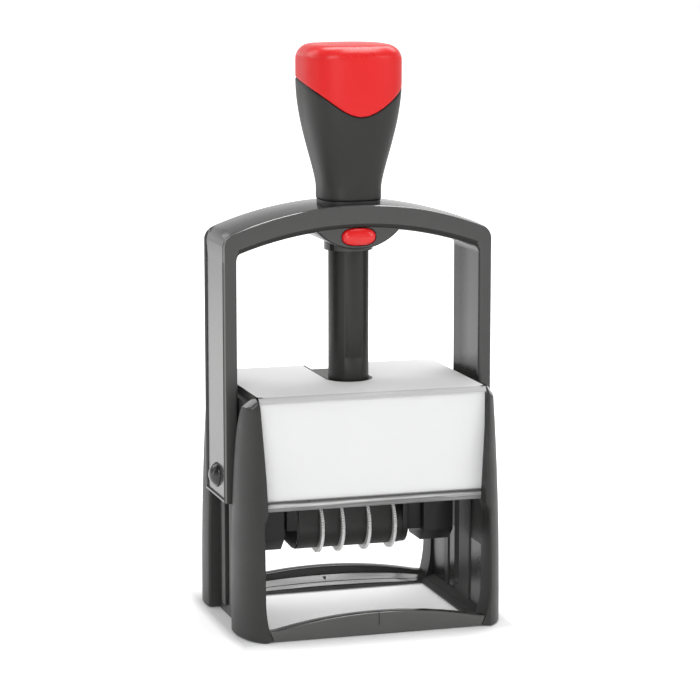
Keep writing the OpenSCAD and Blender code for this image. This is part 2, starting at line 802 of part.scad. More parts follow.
// Bar under the band tips, held between the cheeks
module band_platen() color("#555555")
  x_bar(unit_x0 - thin_gap, unit_x1 + thin_gap, tip_z, tip_r - band_t - fit_gap);

// Cheeks that hold the wheel shaft and the platen
cheek_up = 1.6;
cone_in = 4.2;
module date_cheek(x0, x1, left_r) color("#2a2a2a") difference() {
  union() {
    translate([x0, 0, wheel_z]) rotate([0, 90, 0]) cylinder(h = x1 - x0, r1 = left_r, r2 = cheek_r);
    side_extrude(x0, x1) {
      translate([-cheek_r, wheel_z]) square([2 * cheek_r, carrier_z - wheel_z + cheek_gap]);
      translate([1 - date_hd, wheel_z]) square([2 * date_hd - 2, tip_z + cheek_up - wheel_z]);
    }
  }
  x_bar(x0 - 1, x1 + 1, wheel_z, shaft_r);
}

module date_cheek_right() date_cheek(cheek_right - cheek_t, cheek_right, cheek_r);

module date_cheek_left() date_cheek(cheek_left, unit_x0 - thin_gap, cheek_r - cone_in);

module wheel_shaft() color("#a8a8a8")
  x_bar(cheek_left, cheek_right, wheel_z, shaft_r);

// Plain drum at the right end of the shaft
module end_drum() color("#262626") difference() {
  x_bar(unit_x1 - spacer_w + thin_gap, unit_x1 + thin_gap, wheel_z, band_r);
  x_bar(0, unit_w, wheel_z, shaft_r);
}

// Thumb wheel with saw teeth and the drum that drives its band
tooth_h = 0.5;
module date_wheel(i) color("#d4d4d2") {
  x = band_x(i) + band_w[i];
  difference() {
    union() {
      side_extrude(x, x + disc_t) translate([0, wheel_z]) polygon([for (k = [0:2 * wheel_teeth - 1])
        let (a = 180 * k / wheel_teeth, r = k % 2 == 0 ? wheel_r : wheel_r - tooth_h) r * [cos(a), sin(a)]]);
      x_bar(band_x(i) + thin_gap, x + eps, wheel_z, band_r - band_t - run_gap);
    }
    x_bar(-unit_w, unit_w, wheel_z, shaft_r + run_gap);
  }
}

module date_wheel_1() date_wheel(0);

module date_wheel_2() date_wheel(1);

module date_wheel_3() date_wheel(2);

module date_wheel_4() date_wheel(3);

window_frame();
left_side_frame();
right_side_frame();
pad_case();
index_card();
index_cover();
guide_column();
column_screw();
frame_screws();
pad_tray();
ink_pad();
bridge_frame();
handle_collar();
handle_grip();
handle_cap();
axle_pin_left();
axle_pin_right();
return_spring();
lock_button();
button_spring();
die_carrier();
text_plate();
text_die();
date_cheek_left();
date_cheek_right();
wheel_shaft();
band_platen();
date_band_1();
date_band_2();
date_band_3();
date_band_4();
end_drum();
date_wheel_1();
date_wheel_2();
date_wheel_3();
date_wheel_4();
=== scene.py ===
import json
import math

import bmesh
import bpy
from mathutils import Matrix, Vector


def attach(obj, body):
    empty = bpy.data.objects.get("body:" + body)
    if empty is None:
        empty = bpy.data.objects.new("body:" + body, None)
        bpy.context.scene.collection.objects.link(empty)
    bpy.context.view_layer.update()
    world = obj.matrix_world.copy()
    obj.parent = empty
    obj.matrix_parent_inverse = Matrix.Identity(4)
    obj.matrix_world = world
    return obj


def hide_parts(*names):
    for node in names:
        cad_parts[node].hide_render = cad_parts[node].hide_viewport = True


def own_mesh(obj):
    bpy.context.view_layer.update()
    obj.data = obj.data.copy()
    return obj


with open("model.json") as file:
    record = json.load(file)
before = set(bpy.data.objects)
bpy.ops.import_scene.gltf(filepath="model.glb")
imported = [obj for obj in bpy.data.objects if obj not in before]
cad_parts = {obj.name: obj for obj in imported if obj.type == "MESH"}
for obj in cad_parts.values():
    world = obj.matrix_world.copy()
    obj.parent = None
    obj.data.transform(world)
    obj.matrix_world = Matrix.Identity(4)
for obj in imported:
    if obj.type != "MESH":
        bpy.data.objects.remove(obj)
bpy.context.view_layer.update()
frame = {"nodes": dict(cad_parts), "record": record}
nodes = frame["nodes"]
MM = 0.001
scene = bpy.context.scene


def smooth(t):
    t = min(1.0, max(0.0, t))
    return t * t * (3 - 2 * t)


# Materials

def new_material(name):
    m = bpy.data.materials.new(name)
    m.use_nodes = True
    return m, m.node_tree, m.node_tree.nodes["Principled BSDF"]


def coords(nt, stretch=(1, 1, 1)):
    tc = nt.nodes.new("ShaderNodeTexCoord")
    mp = nt.nodes.new("ShaderNodeMapping")
    mp.inputs["Scale"].default_value = stretch
    nt.links.new(tc.outputs["Object"], mp.inputs["Vector"])
    return mp.outputs["Vector"]


def noise(nt, vector, scale, detail=3.0, rough=0.5):
    n = nt.nodes.new("ShaderNodeTexNoise")
    n.inputs["Scale"].default_value = scale
    n.inputs["Detail"].default_value = detail
    n.inputs["Roughness"].default_value = rough
    nt.links.new(vector, n.inputs["Vector"])
    return n.outputs["Fac"]


def remap(nt, value, low, high, a, b):
    n = nt.nodes.new("ShaderNodeMapRange")
    n.inputs["From Min"].default_value = low
    n.inputs["From Max"].default_value = high
    n.inputs["To Min"].default_value = a
    n.inputs["To Max"].default_value = b
    nt.links.new(value, n.inputs["Value"])
    return n.outputs["Result"]


def math_node(nt, op, a, b):
    n = nt.nodes.new("ShaderNodeMath")
    n.operation = op
    for socket, v in zip(n.inputs, (a, b)):
        if isinstance(v, (int, float)):
            socket.default_value = v
        else:
            nt.links.new(v, socket)
    return n.outputs[0]


def mix_color(nt, fac, a, b):
    n = nt.nodes.new("ShaderNodeMix")
    n.data_type = "RGBA"
    nt.links.new(fac, n.inputs["Factor"])
    for socket, v in ((n.inputs["A"], a), (n.inputs["B"], b)):
        if isinstance(v, tuple):
            socket.default_value = (*v, 1)
        else:
            nt.links.new(v, socket)
    return n.outputs["Result"]


def spread(nt, value, a, b):
    """Maps the middle of a noise's range, where nearly all of it lies, to a..b."""
    return remap(nt, value, 0.3, 0.7, a, b)


def blend(nt, a, share, b):
    """Weighted sum of two values."""
    return math_node(nt, "ADD", math_node(nt, "MULTIPLY", a, share), math_node(nt, "MULTIPLY", b, 1 - share))


def add_bump(nt, bsdf, height, strength, distance):
    n = nt.nodes.new("ShaderNodeBump")
    n.inputs["Strength"].default_value = strength
    n.inputs["Distance"].default_value = distance
    nt.links.new(height, n.inputs["Height"])
    nt.links.new(n.outputs["Normal"], bsdf.inputs["Normal"])


def shade(color, k):
    return tuple(min(1.0, c * k) for c in color)


def plastic(name, color, rough, grain=2600.0, bump=0.25, depth=0.00003, tone=0.07, cloud=55.0, spec=0.5,
            coat=0.0, rough_var=0.06, stretch=(1, 1, 1)):
    m, nt, bsdf = new_material(name)
    v = coords(nt, stretch)
    clouds = noise(nt, v, cloud, 4.0, 0.55)
    specks = noise(nt, v, grain, 2.0, 0.6)
    both = blend(nt, clouds, 0.65, specks)
    col = mix_color(nt, spread(nt, both, 0.0, 1.0), shade(color, 1 - tone), shade(color, 1 + tone))
    nt.links.new(col, bsdf.inputs["Base Color"])
    nt.links.new(spread(nt, both, rough + rough_var, rough - rough_var), bsdf.inputs["Roughness"])
    bsdf.inputs["Specular IOR Level"].default_value = spec
    bsdf.inputs["Coat Weight"].default_value = coat
    bsdf.inputs["Coat Roughness"].default_value = 0.12
    add_bump(nt, bsdf, specks, bump, depth)
    return m


def metal(name, color, rough, stretch):
    m, nt, bsdf = new_material(name)
    lines = noise(nt, coords(nt, stretch), 900.0, 3.0, 0.6)
    col = mix_color(nt, spread(nt, lines, 0.0, 1.0), shade(color, 0.85), shade(color, 1.08))
    nt.links.new(col, bsdf.inputs["Base Color"])
    nt.links.new(spread(nt, lines, rough - 0.06, rough + 0.08), bsdf.inputs["Roughness"])
    bsdf.inputs["Metallic"].default_value = 1.0
    add_bump(nt, bsdf, lines, 0.2, 0.00001)
    return m


def clear_plastic(name):
    """Slightly hazy clear sheet that lets shadow and diffuse rays straight through."""
    m, nt, bsdf = new_material(name)
    haze = noise(nt, coords(nt), 40.0, 2.0, 0.4)
    col = mix_color(nt, haze, (0.975, 0.98, 0.98), (0.985, 0.99, 0.99))
    nt.links.new(col, bsdf.inputs["Base Color"])
    nt.links.new(spread(nt, haze, 0.16, 0.13), bsdf.inputs["Roughness"])
    bsdf.inputs["Transmission Weight"].default_value = 1.0
    bsdf.inputs["IOR"].default_value = 1.46
    path = nt.nodes.new("ShaderNodeLightPath")
    through = nt.nodes.new("ShaderNodeBsdfTransparent")
    mix = nt.nodes.new("ShaderNodeMixShader")
    out = nt.nodes["Material Output"]
    fac = math_node(nt, "MAXIMUM", path.outputs["Is Shadow Ray"], path.outputs["Is Diffuse Ray"])
    nt.links.new(fac, mix.inputs["Fac"])
    nt.links.new(bsdf.outputs["BSDF"], mix.inputs[1])
    nt.links.new(through.outputs["BSDF"], mix.inputs[2])
    nt.links.new(mix.outputs["Shader"], out.inputs["Surface"])
    return m


def lip_plastic(name, low, high):
    """Clear strip seen edge on, its reflections painted in as colour: streaks along X, a bright band from
    height low to high between dull ones.
    """
    m, nt, bsdf = new_material(name)
    split = nt.nodes.new("ShaderNodeSeparateXYZ")
    nt.links.new(coords(nt), split.inputs["Vector"])
    wave = noise(nt, coords(nt, (14, 1, 260)), 1.0, 4.0, 0.6)
    fine = noise(nt, coords(nt, (45, 1, 1100)), 1.0, 3.0, 0.6)
    sway, fade = 0.00045, 0.0003
    height = math_node(nt, "ADD", split.outputs["Z"], spread(nt, wave, -sway, sway))
    band = math_node(nt, "MULTIPLY", remap(nt, height, low, low + fade, 0.0, 1.0),
                     remap(nt, height, high, high + 0.0004, 1.0, 0.0))
    streak = blend(nt, wave, 0.45, fine)
    fac = remap(nt, streak, 0.40, 0.60, 0.0, 1.0)
    # Dull and bright tones stand in for the clear strip's reflections: painted reflection and painted shade
    dull = mix_color(nt, fac, (0.11, 0.11, 0.11), (0.26, 0.26, 0.26))
    bright = mix_color(nt, fac, (0.38, 0.38, 0.38), (0.76, 0.76, 0.75))
    nt.links.new(mix_color(nt, band, dull, bright), bsdf.inputs["Base Color"])
    nt.links.new(spread(nt, fine, 0.10, 0.24), bsdf.inputs["Roughness"])
    add_bump(nt, bsdf, streak, 0.25, 0.00006)
    return m


def felt(name, color):
    m, nt, bsdf = new_material(name)
    fibres = noise(nt, coords(nt, (1, 1, 0.25)), 2400.0, 4.0, 0.7)
    pool = noise(nt, coords(nt), 90.0, 3.0, 0.5)
    fac = spread(nt, blend(nt, fibres, 0.5, pool), 0.0, 1.0)
    nt.links.new(mix_color(nt, fac, shade(color, 0.6), shade(color, 1.5)), bsdf.inputs["Base Color"])
    nt.links.new(spread(nt, pool, 0.75, 0.95), bsdf.inputs["Roughness"])
    bsdf.inputs["Sheen Weight"].default_value = 0.25
    add_bump(nt, bsdf, fibres, 0.8, 0.00015)
    return m


RED = (0.74, 0.013, 0.014)
MAT = {
    "frame_plastic": plastic("frame_plastic_mat", (0.031, 0.031, 0.030), 0.44, spec=0.32),
    "sill_plastic": plastic("sill_plastic_mat", (0.072, 0.072, 0.070), 0.42),
    "gloss_frame": plastic("gloss_frame_mat", (0.020, 0.020, 0.019), 0.16, grain=700.0, bump=0.5,
                           depth=0.00005, rough_var=0.08, coat=0.15, stretch=(0.04, 1, 1)),
    "wall_gloss": plastic("wall_gloss_mat", (0.020, 0.020, 0.019), 0.26, bump=0.04, rough_var=0.03),
    "inner_frame": plastic("inner_frame_mat", (0.026, 0.026, 0.025), 0.44, bump=0.06, rough_var=0.04,
                           spec=0.25),
    # Pillar-top facet: glossier than the frame and painted lighter, a painted highlight on top of its real
    # lamp reflection
    "facet_plastic": plastic("facet_plastic_mat", (0.040, 0.040, 0.039), 0.14, bump=0.02, rough_var=0.02,
                             coat=1.0),
    "bridge_plastic": plastic("bridge_plastic_mat", (0.050, 0.050, 0.049), 0.38, bump=0.35),
    "bridge_gloss": plastic("bridge_gloss_mat", (0.028, 0.028, 0.027), 0.15, bump=0.04, rough_var=0.03,
                            coat=0.2),
    # Front-top edges of bridge and sills: glossy, and twice as light as the bridge plastic, a painted
    # highlight line
    "bridge_edge": plastic("bridge_edge_mat", (0.10, 0.10, 0.098), 0.16, bump=0.02, rough_var=0.02,
                           coat=1.0),
    "bridge_satin": plastic("bridge_satin_mat", (0.034, 0.034, 0.033), 0.26, bump=0.08, rough_var=0.04),
    # Downward bevel and front rim strip: a darker, duller copy of the bridge plastic, painted shade
    "bridge_rim": plastic("bridge_rim_mat", (0.026, 0.026, 0.025), 0.46, bump=0.2, spec=0.22),
    "grip_plastic": plastic("grip_plastic_mat", (0.017, 0.017, 0.016), 0.44, bump=0.3, spec=0.36),
    "column_plastic": plastic("column_plastic_mat", (0.016, 0.016, 0.015), 0.40, grain=1400.0, bump=0.01,
                              tone=0.03, spec=0.36),
    "black_plastic": plastic("black_plastic_mat", (0.016, 0.016, 0.016), 0.44, bump=0.10, rough_var=0.05,
                             spec=0.35),
    "knob_plastic": plastic("knob_plastic_mat", (0.008, 0.008, 0.008), 0.12, bump=0.02, rough_var=0.02,
                            coat=0.4),
    "red_plastic": plastic("red_plastic_mat", RED, 0.42, bump=0.06, tone=0.03, rough_var=0.04, spec=0.3),
    "red_gloss": plastic("red_gloss_mat", RED, 0.28, bump=0.03, tone=0.03, rough_var=0.03),
    "button_gloss": plastic("button_gloss_mat", RED, 0.14, bump=0.02, tone=0.03, rough_var=0.02),
    "cover_satin": plastic("cover_satin_mat", (0.80, 0.80, 0.80), 0.50, grain=1800.0, bump=0.03, tone=0.01,
                           spec=0.3),
    # Bend of the clear cover painted mid-grey over the white card: painted shade
    "cover_edge": plastic("cover_edge_mat", (0.50, 0.50, 0.50), 0.34, grain=1800.0, bump=0.03, tone=0.02,
                          spec=0.35),
    "clear_plastic": clear_plastic("clear_plastic_mat"),
    "lip_plastic": lip_plastic("lip_plastic_mat", 0.0438, 0.0446),
    # Clear lip's groove painted opaque dull grey: painted shade
    "lip_groove": plastic("lip_groove_mat", (0.15, 0.15, 0.15), 0.30, grain=1800.0, bump=0.03, tone=0.05),
    "white_card": plastic("white_card_mat", (0.84, 0.84, 0.84), 0.75, grain=5200.0, bump=0.2, tone=0.015),
    "wheel_plastic": plastic("wheel_plastic_mat", (0.93, 0.93, 0.92), 0.38, bump=0.10, tone=0.03),
    "band_rubber": plastic("band_rubber_mat", (0.022, 0.022, 0.021), 0.50, grain=3800.0, bump=0.3, spec=0.4),
    "die_rubber": plastic("die_rubber_mat", (0.24, 0.05, 0.042), 0.62, grain=3400.0, bump=0.35),
    "ink_felt": felt("ink_felt_mat", (0.016, 0.015, 0.035)),
    "aluminium": metal("aluminium_mat", (0.62, 0.63, 0.64), 0.34, (0.04, 1, 1)),
    "steel": metal("steel_mat", (0.60, 0.60, 0.59), 0.26, (1, 1, 0.08)),
}
for row in frame["record"]["subparts"]:
    o = nodes[row["node"]]
    o.data.materials.clear()
    o.data.materials.append(MAT[row["material_slot"]])
for name in ("axle_pin_left", "axle_pin_right"):
    nodes[name].data.materials[0] = MAT["knob_plastic"]
# The pad case takes the lighter sill grey so its shaded crevice beside the legs reads lighter: painted light
nodes["pad_case"].data.materials[0] = MAT["sill_plastic"]


# Mesh helpers

# Angles in degrees: where shading breaks, which faces count as flat, which edges are rounded
SHARP_ANGLE, FLAT_ANGLE, ROUND_ANGLE = 32, 0.4, 34
WELD = 1e-6


def normals_group(angle):
    """Geometry nodes that weld a solid's triangles and shade it smooth up to an angle in degrees."""
    g = bpy.data.node_groups.new("weld_and_shade", "GeometryNodeTree")
    g.interface.new_socket("Geometry", in_out="INPUT", socket_type="NodeSocketGeometry")
    g.interface.new_socket("Geometry", in_out="OUTPUT", socket_type="NodeSocketGeometry")
    gin = g.nodes.new("NodeGroupInput")
    gout = g.nodes.new("NodeGroupOutput")
    weld = g.nodes.new("GeometryNodeMergeByDistance")
    weld.inputs["Distance"].default_value = WELD
    edge = g.nodes.new("GeometryNodeInputMeshEdgeAngle")
    compare = g.nodes.new("FunctionNodeCompare")
    compare.operation = "GREATER_THAN"
    compare.inputs[1].default_value = math.radians(angle)
    shading = g.nodes.new("GeometryNodeSetMeshNormal")
    shading.mode = "SHARPNESS"
    shading.inputs["Remove Custom"].default_value = True
    g.links.new(gin.outputs[0], weld.inputs["Geometry"])
    g.links.new(weld.outputs["Geometry"], shading.inputs["Mesh"])
    g.links.new(edge.outputs["Unsigned Angle"], compare.inputs[0])
    g.links.new(compare.outputs[0], shading.inputs["Edge Sharpness"])
    g.links.new(shading.outputs["Mesh"], gout.inputs[0])
    return g


SHADE = normals_group(SHARP_ANGLE)


def polish(name, width):
    """Shades a CAD node cleanly and rounds its edges by a width in mm."""
    o = nodes[name]
    o.modifiers.new("weld", "NODES").node_group = SHADE
    if width:
        flat = o.modifiers.new("flat", "DECIMATE")
        flat.decimate_type = "DISSOLVE"
        flat.angle_limit = math.radians(FLAT_ANGLE)
        bevel = o.modifiers.new("round", "BEVEL")
        bevel.width = width * MM
        bevel.segments = 2
        bevel.limit_method = "ANGLE"
        bevel.angle_limit = math.radians(ROUND_ANGLE)
        bevel.miter_outer = "MITER_ARC"
        o.modifiers.new("shade", "NODES").node_group = SHADE


def smooth_faces(mesh, angle=SHARP_ANGLE):
    mesh.shade_smooth()
    mesh.set_sharp_from_angle(angle=math.radians(angle))


def paint(o, finishes, pick):
    """Gives each face of a piece the finish that pick names for it."""
    o.data.materials.clear()
    for finish in finishes:
        o.data.materials.append(MAT[finish])
    for face in o.data.polygons:
        face.material_index = finishes.index(pick(face))


def make(name, bm, slot, body, *replaced, angle=SHARP_ANGLE):
    """Turns a bmesh into a piece with its slot and body, in the place of CAD nodes."""
    bmesh.ops.recalc_face_normals(bm, faces=bm.faces)
    mesh = bpy.data.meshes.new(name)
    bm.to_mesh(mesh)
    bm.free()
    smooth_faces(mesh, angle)
    o = bpy.data.objects.new(name, mesh)
    scene.collection.objects.link(o)
    o.data.materials.append(MAT[slot])
    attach(o, body)
    if replaced:
        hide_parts(*replaced)
    return o


def add_rings(bm, rings, closed=False):
    """Quads between rings of points in mm; closed joins the last ring to the first."""
    made = [[bm.verts.new(Vector(p) * MM) for p in ring] for ring in rings]
    n = len(rings[0])
    pairs = list(zip(made, made[1:])) + ([(made[-1], made[0])] if closed else [])
    for a, b in pairs:
        for i in range(n):
            j = (i + 1) % n
            bm.faces.new((a[i], a[j], b[j], b[i]))
    return made


def cap_ends(bm, made):
    """Closes the first and the last ring."""
    bm.faces.new(made[0])
    bm.faces.new(made[-1])


def fan(bm, ring, point):
    """Closes a ring with triangles to one point."""
    mid = bm.verts.new(Vector(point) * MM)
    for i in range(len(ring)):
        bm.faces.new((ring[i], ring[(i + 1) % len(ring)], mid))


def carve(obj, tool, operation):
    """Joins a tool mesh to obj, or cuts it out of obj, and keeps the result as obj's mesh."""
    mod = obj.modifiers.new("cut", "BOOLEAN")
    mod.operation = operation
    mod.object = tool
    mod.solver = "EXACT"
    bpy.context.view_layer.update()
    result = bpy.data.meshes.new_from_object(obj.evaluated_get(bpy.context.evaluated_depsgraph_get()))
    obj.modifiers.clear()
    obj.data = result
    bpy.data.objects.remove(tool)


def tool_from(bm):
    """Turns a bmesh into a mesh object for carve."""
    bmesh.ops.recalc_face_normals(bm, faces=bm.faces)
    mesh = bpy.data.meshes.new("tool")
    bm.to_mesh(mesh)
    bm.free()
    o = bpy.data.objects.new("tool", mesh)
    scene.collection.objects.link(o)
    return o


def prism(outline, low, high, place):
    """Closed prism: outline points (a, b) at two levels, set in space by place(a, b, level)."""
    bm = bmesh.new()
    cap_ends(bm, add_rings(bm, [[place(a, b, level) for a, b in outline] for level in (low, high)]))
    return bm


def upright(a, b, h):
    """Place of a prism's points when it stands along Z."""
    return a, b, h


def circle(r, n, ca=0.0, cb=0.0):
    turns = [2 * math.pi * i / n for i in range(n)]
    return [(ca + r * math.cos(t), cb + r * math.sin(t)) for t in turns]


def rect(a0, a1, b0, b1):
    return [(a0, b0), (a1, b0), (a1, b1), (a0, b1)]


def stadium(w, h, n=48):
    """Slot outline w by h with round ends."""
    half = (w - h) / 2
    return [(x + math.copysign(half, x), y) for x, y in circle(h / 2, n)]


def oval(w, h, power=2.5, n=64):
    """Superellipse w by h."""
    def swell(c, full):
        return full / 2 * math.copysign(abs(c) ** (2 / power), c)

    return [(swell(x, w), swell(y, h)) for x, y in circle(1.0, n)]


# Angles that step round a quarter turn
QUARTER = (0.0, 0.3, 0.6, 0.9, 1.2, math.pi / 2)


# Handle: a grip below a wavy cut and a cap above it. Sizes from here on are in mm and follow the solids
HANDLE_LOW, HANDLE_TOP, BORE_TOP = 141.985, 194.285, 189.285
NECK, HEAD, BORE_R = 10.4, 16.8, 6.95
FLARE_LOW, FLARE_TOP, FLARE_EASE = HANDLE_LOW + 4, HANDLE_TOP - 12, 0.75
SHOULDER_Z, SHOULDER_IN, TOP_DOME = HANDLE_TOP - 5.6, 4.9, 0.5
CUT_FRONT, CUT_WAVE, CUT_TURN, CUT_TILT = HANDLE_TOP - 23.8, 5.2, math.radians(131), 2.6
CUT_MID = CUT_FRONT + CUT_WAVE
SEAM, GRIP_ROUND, CAP_ROUND = 0.12, 0.5, 0.45
AROUND, GRIP_STEPS, CAP_STEPS, SHOULDER_STEPS, TOP_STEPS = 128, 36, 14, 12, 8


def section(s, z, i, n=3.0):
    """Point i of a rounded square with half side s at height z."""
    a = 2 * math.pi * i / AROUND
    k = s / (abs(math.cos(a)) ** n + abs(math.sin(a)) ** n) ** (1 / n)
    return (k * math.cos(a), k * math.sin(a), z)


def handle_half(z):
    """Half side of the handle at height z: neck, flare, head and rounded shoulder."""
    if z <= SHOULDER_Z:
        rise = max(0.0, z - FLARE_LOW) / (FLARE_TOP - FLARE_LOW)
        return NECK + (HEAD - NECK) * smooth(rise ** FLARE_EASE)
    u = min(1.0, (z - SHOULDER_Z) / (HANDLE_TOP - TOP_DOME - SHOULDER_Z))
    return HEAD - SHOULDER_IN * (1 - math.sqrt(max(0.0, 1 - u * u)))


def cut_z(i):
    """Height of the wavy cut between grip and cap at point i of a ring."""
    x, y, _ = section(1.0, 0, i)
    return CUT_FRONT + CUT_WAVE * (1 - math.cos(CUT_TURN * x)) + CUT_TILT * (1 + y)


def bore_cut(i):
    """Height of the same cut where it meets the bore."""
    return CUT_MID + (cut_z(i) - CUT_MID) * BORE_R / HEAD


def handle_ring(z_of, inset=0.0):
    """Ring on the outside of the handle at the heights z_of(i), drawn in by an inset."""
    return [section(handle_half(z_of(i)) - inset, z_of(i), i) for i in range(AROUND)]


def bore_ring(z_of):
    return [(x, y, z_of(i)) for i, (x, y) in enumerate(circle(BORE_R, AROUND))]


def build_grip():
    rings = []
    for inset, rise in ((GRIP_ROUND, 0.0), (0.15, 0.15), (0.0, GRIP_ROUND)):
        rings.append(handle_ring(lambda i: HANDLE_LOW + rise, inset))
    low = HANDLE_LOW + GRIP_ROUND
    for k in range(1, GRIP_STEPS + 1):
        rings.append(handle_ring(lambda i: low + (cut_z(i) - GRIP_ROUND - low) * k / GRIP_STEPS))
    for inset, drop in ((0.12, 0.22 + SEAM), (0.4, SEAM)):
        rings.append(handle_ring(lambda i: cut_z(i) - drop, inset))
    rings.append(bore_ring(lambda i: bore_cut(i) - SEAM))
    rings.append(bore_ring(lambda i: HANDLE_LOW))
    bm = bmesh.new()
    add_rings(bm, rings, closed=True)
    make("handle_grip_body", bm, "grip_plastic", "bridge", "handle_grip", angle=50)


def cap_finish(face):
    """Gloss on the top and its shoulder, satin below."""
    on_top = face.normal.z > 0.25 and face.center.z / MM > SHOULDER_Z
    return "red_gloss" if on_top else "red_plastic"


def build_cap():
    rings = [bore_ring(lambda i: BORE_TOP), bore_ring(bore_cut)]
    for inset, rise in ((CAP_ROUND, 0.0), (0.12, 0.12), (0.0, CAP_ROUND)):
        rings.append(handle_ring(lambda i: cut_z(i) + rise, inset))
    low = [cut_z(i) + CAP_ROUND for i in range(AROUND)]
    for k in range(1, CAP_STEPS + 1):
        rings.append(handle_ring(lambda i: low[i] + (SHOULDER_Z - low[i]) * k / CAP_STEPS))
    shoulder = HANDLE_TOP - TOP_DOME - SHOULDER_Z
    for k in range(1, SHOULDER_STEPS + 1):
        z = SHOULDER_Z + shoulder * math.sin(math.pi / 2 * k / SHOULDER_STEPS)
        rings.append(handle_ring(lambda i: z))
    flat = HEAD - SHOULDER_IN
    for k in range(1, TOP_STEPS):
        t = k / TOP_STEPS
        z = HANDLE_TOP - TOP_DOME * (1 - t) ** 2
        rings.append([section(flat * (1 - t), z, i, 3.0 - t) for i in range(AROUND)])
    bm = bmesh.new()
    made = add_rings(bm, rings)
    fan(bm, made[-1], (0, 0, HANDLE_TOP))
    fan(bm, made[0], (0, 0, BORE_TOP))
    cap = make("handle_cap_body", bm, "red_plastic", "bridge", "handle_cap", angle=60)
    paint(cap, ("red_plastic", "red_gloss"), cap_finish)


build_grip()
build_cap()

# Lock button: a pillow with a rounded rim, and its tongue
BRIDGE_HD = 13.3
BUTTON_Z, BUTTON_W, BUTTON_H, BUTTON_FRONT = 130.385, 11.7, 5.9, -BRIDGE_HD - 0.3
TONGUE_HW, TONGUE_LOW, TONGUE_TOP, TONGUE_END, TONGUE_PLAY = 1.8, 127.985, 129.585, -8.85, 0.2


def build_button():
    rings = []
    for inset, depth in ((0.3, 2.4), (0.0, 2.1), (0.0, 1.5), (0.1, 1.15), (0.32, 0.8), (0.7, 0.5),
                         (1.2, 0.28), (1.8, 0.12), (2.4, 0.03)):
        outline = oval(BUTTON_W - 2 * inset, BUTTON_H - 2 * inset)
        rings.append([(x, BUTTON_FRONT + depth, BUTTON_Z + z) for x, z in outline])
    bm = bmesh.new()
    made = add_rings(bm, rings)
    bm.faces.new(made[0])
    fan(bm, made[-1], (0, BUTTON_FRONT, BUTTON_Z))
    tongue = rect(-TONGUE_HW, TONGUE_HW, TONGUE_LOW, TONGUE_TOP)
    cap_ends(bm, add_rings(bm, [[(x, y, z) for x, z in tongue] for y in (BUTTON_FRONT + 2.3, TONGUE_END)]))
    button = make("lock_button_cap", bm, "red_plastic", "button", "lock_button", angle=50)
    button.data.materials[0] = MAT["button_gloss"]


build_button()

# Bridge: a section swept up one leg, over the arch and down the other leg
LEG_LOW, LEG_IN, LEG_OUT = 42.5, 42.2, 46.9
ARCH_R, ARCH_TOP, ARCH_UNDER = 120.0, 141.485, 132.985
CORNER_R, INNER_R, ARCH_BEVEL = 5.5, 2.5, 2.7
PANEL_D, RIM_REAR, RIM_FRONT, RIM_SLOPE, LEG_FOOT = 0.6, 0.7, 1.8, 0.25, 0.9
GROOVE_D, GROOVE_RIM, GROOVE_END, LEG_BEVEL = 1.1, 1.8, 8.2, 1.1
EDGE_W, EDGE_H, REAR_R = 0.75, 0.32, 0.4
PANEL_TOP, CROWN = 123.4, 0.46
CORNER_STEPS, ARCH_STEPS = 12, 30
BOSS_LOW, BOSS_TOP, BOSS_HW, BOSS_Y, BOSS_SAG = 125.985, 136.0, 14.3, 12.1, 6.2
RING_R, RING_LOW, RING_TOP, GUIDE_R = 8.3, 124.985, 137.0, 6.9
POCKET_W, POCKET_H, POCKET_END = 12.2, 6.4, -7.95
AXLE_Z, AXLE_HOLE_R = 50.0, 2.5
BRIDGE_FINISHES = ("bridge_plastic", "bridge_gloss", "bridge_edge", "bridge_satin", "bridge_rim")


def arch_corner(hw, top, rc):
    """Centre of the corner between a leg and the arch, and the corner's end angle on the arch."""
    zc = top - ARCH_R + math.sqrt((ARCH_R - rc) ** 2 - (hw - rc) ** 2)
    return (hw - rc, zc), math.atan2(zc - top + ARCH_R, hw - rc)


def on_arc(centre, r, a):
    return centre[0] + r * math.cos(a), centre[1] + r * math.sin(a)


def bridge_stations():
    """Inner and outer points from a leg's foot to the crown, with the shares of panel, groove and bevel."""
    ci, ai = arch_corner(LEG_IN, ARCH_UNDER, INNER_R)
    co, ao = arch_corner(LEG_OUT, ARCH_TOP, CORNER_R)
    out = []
    step, foot = 0.3, LEG_LOW + LEG_FOOT
    levels = [(LEG_LOW, 0, 1), (LEG_LOW + step, 0, 1), (foot, 0, 1), (foot + step, 1, 1)]
    levels += [(z, 1, 1) for z in (50, 60, 70, 80, 90, 100, 110, 118)]
    levels += [(PANEL_TOP - step, 1, 1), (PANEL_TOP, 1, 0)]
    for z, outer, inner in levels:
        inset = step if z == LEG_LOW else 0.0
        out.append(((LEG_IN + inset, z), (LEG_OUT - inset, z), outer, inner, 0.0))
    for k in range(1, CORNER_STEPS + 1):
        t = k / CORNER_STEPS
        out.append((on_arc(ci, INNER_R, ai * t), on_arc(co, CORNER_R, ao * t), 1, 0, smooth(t)))
    under, over = (0.0, ARCH_UNDER - ARCH_R), (0.0, ARCH_TOP - ARCH_R)
    for k in range(1, ARCH_STEPS + 1):
        t = k / ARCH_STEPS
        a, b = ai + (math.pi / 2 - ai) * t, ao + (math.pi / 2 - ao) * t
        out.append((on_arc(under, ARCH_R, a), on_arc(over, ARCH_R, b), 1, 0, 1.0))
    return out


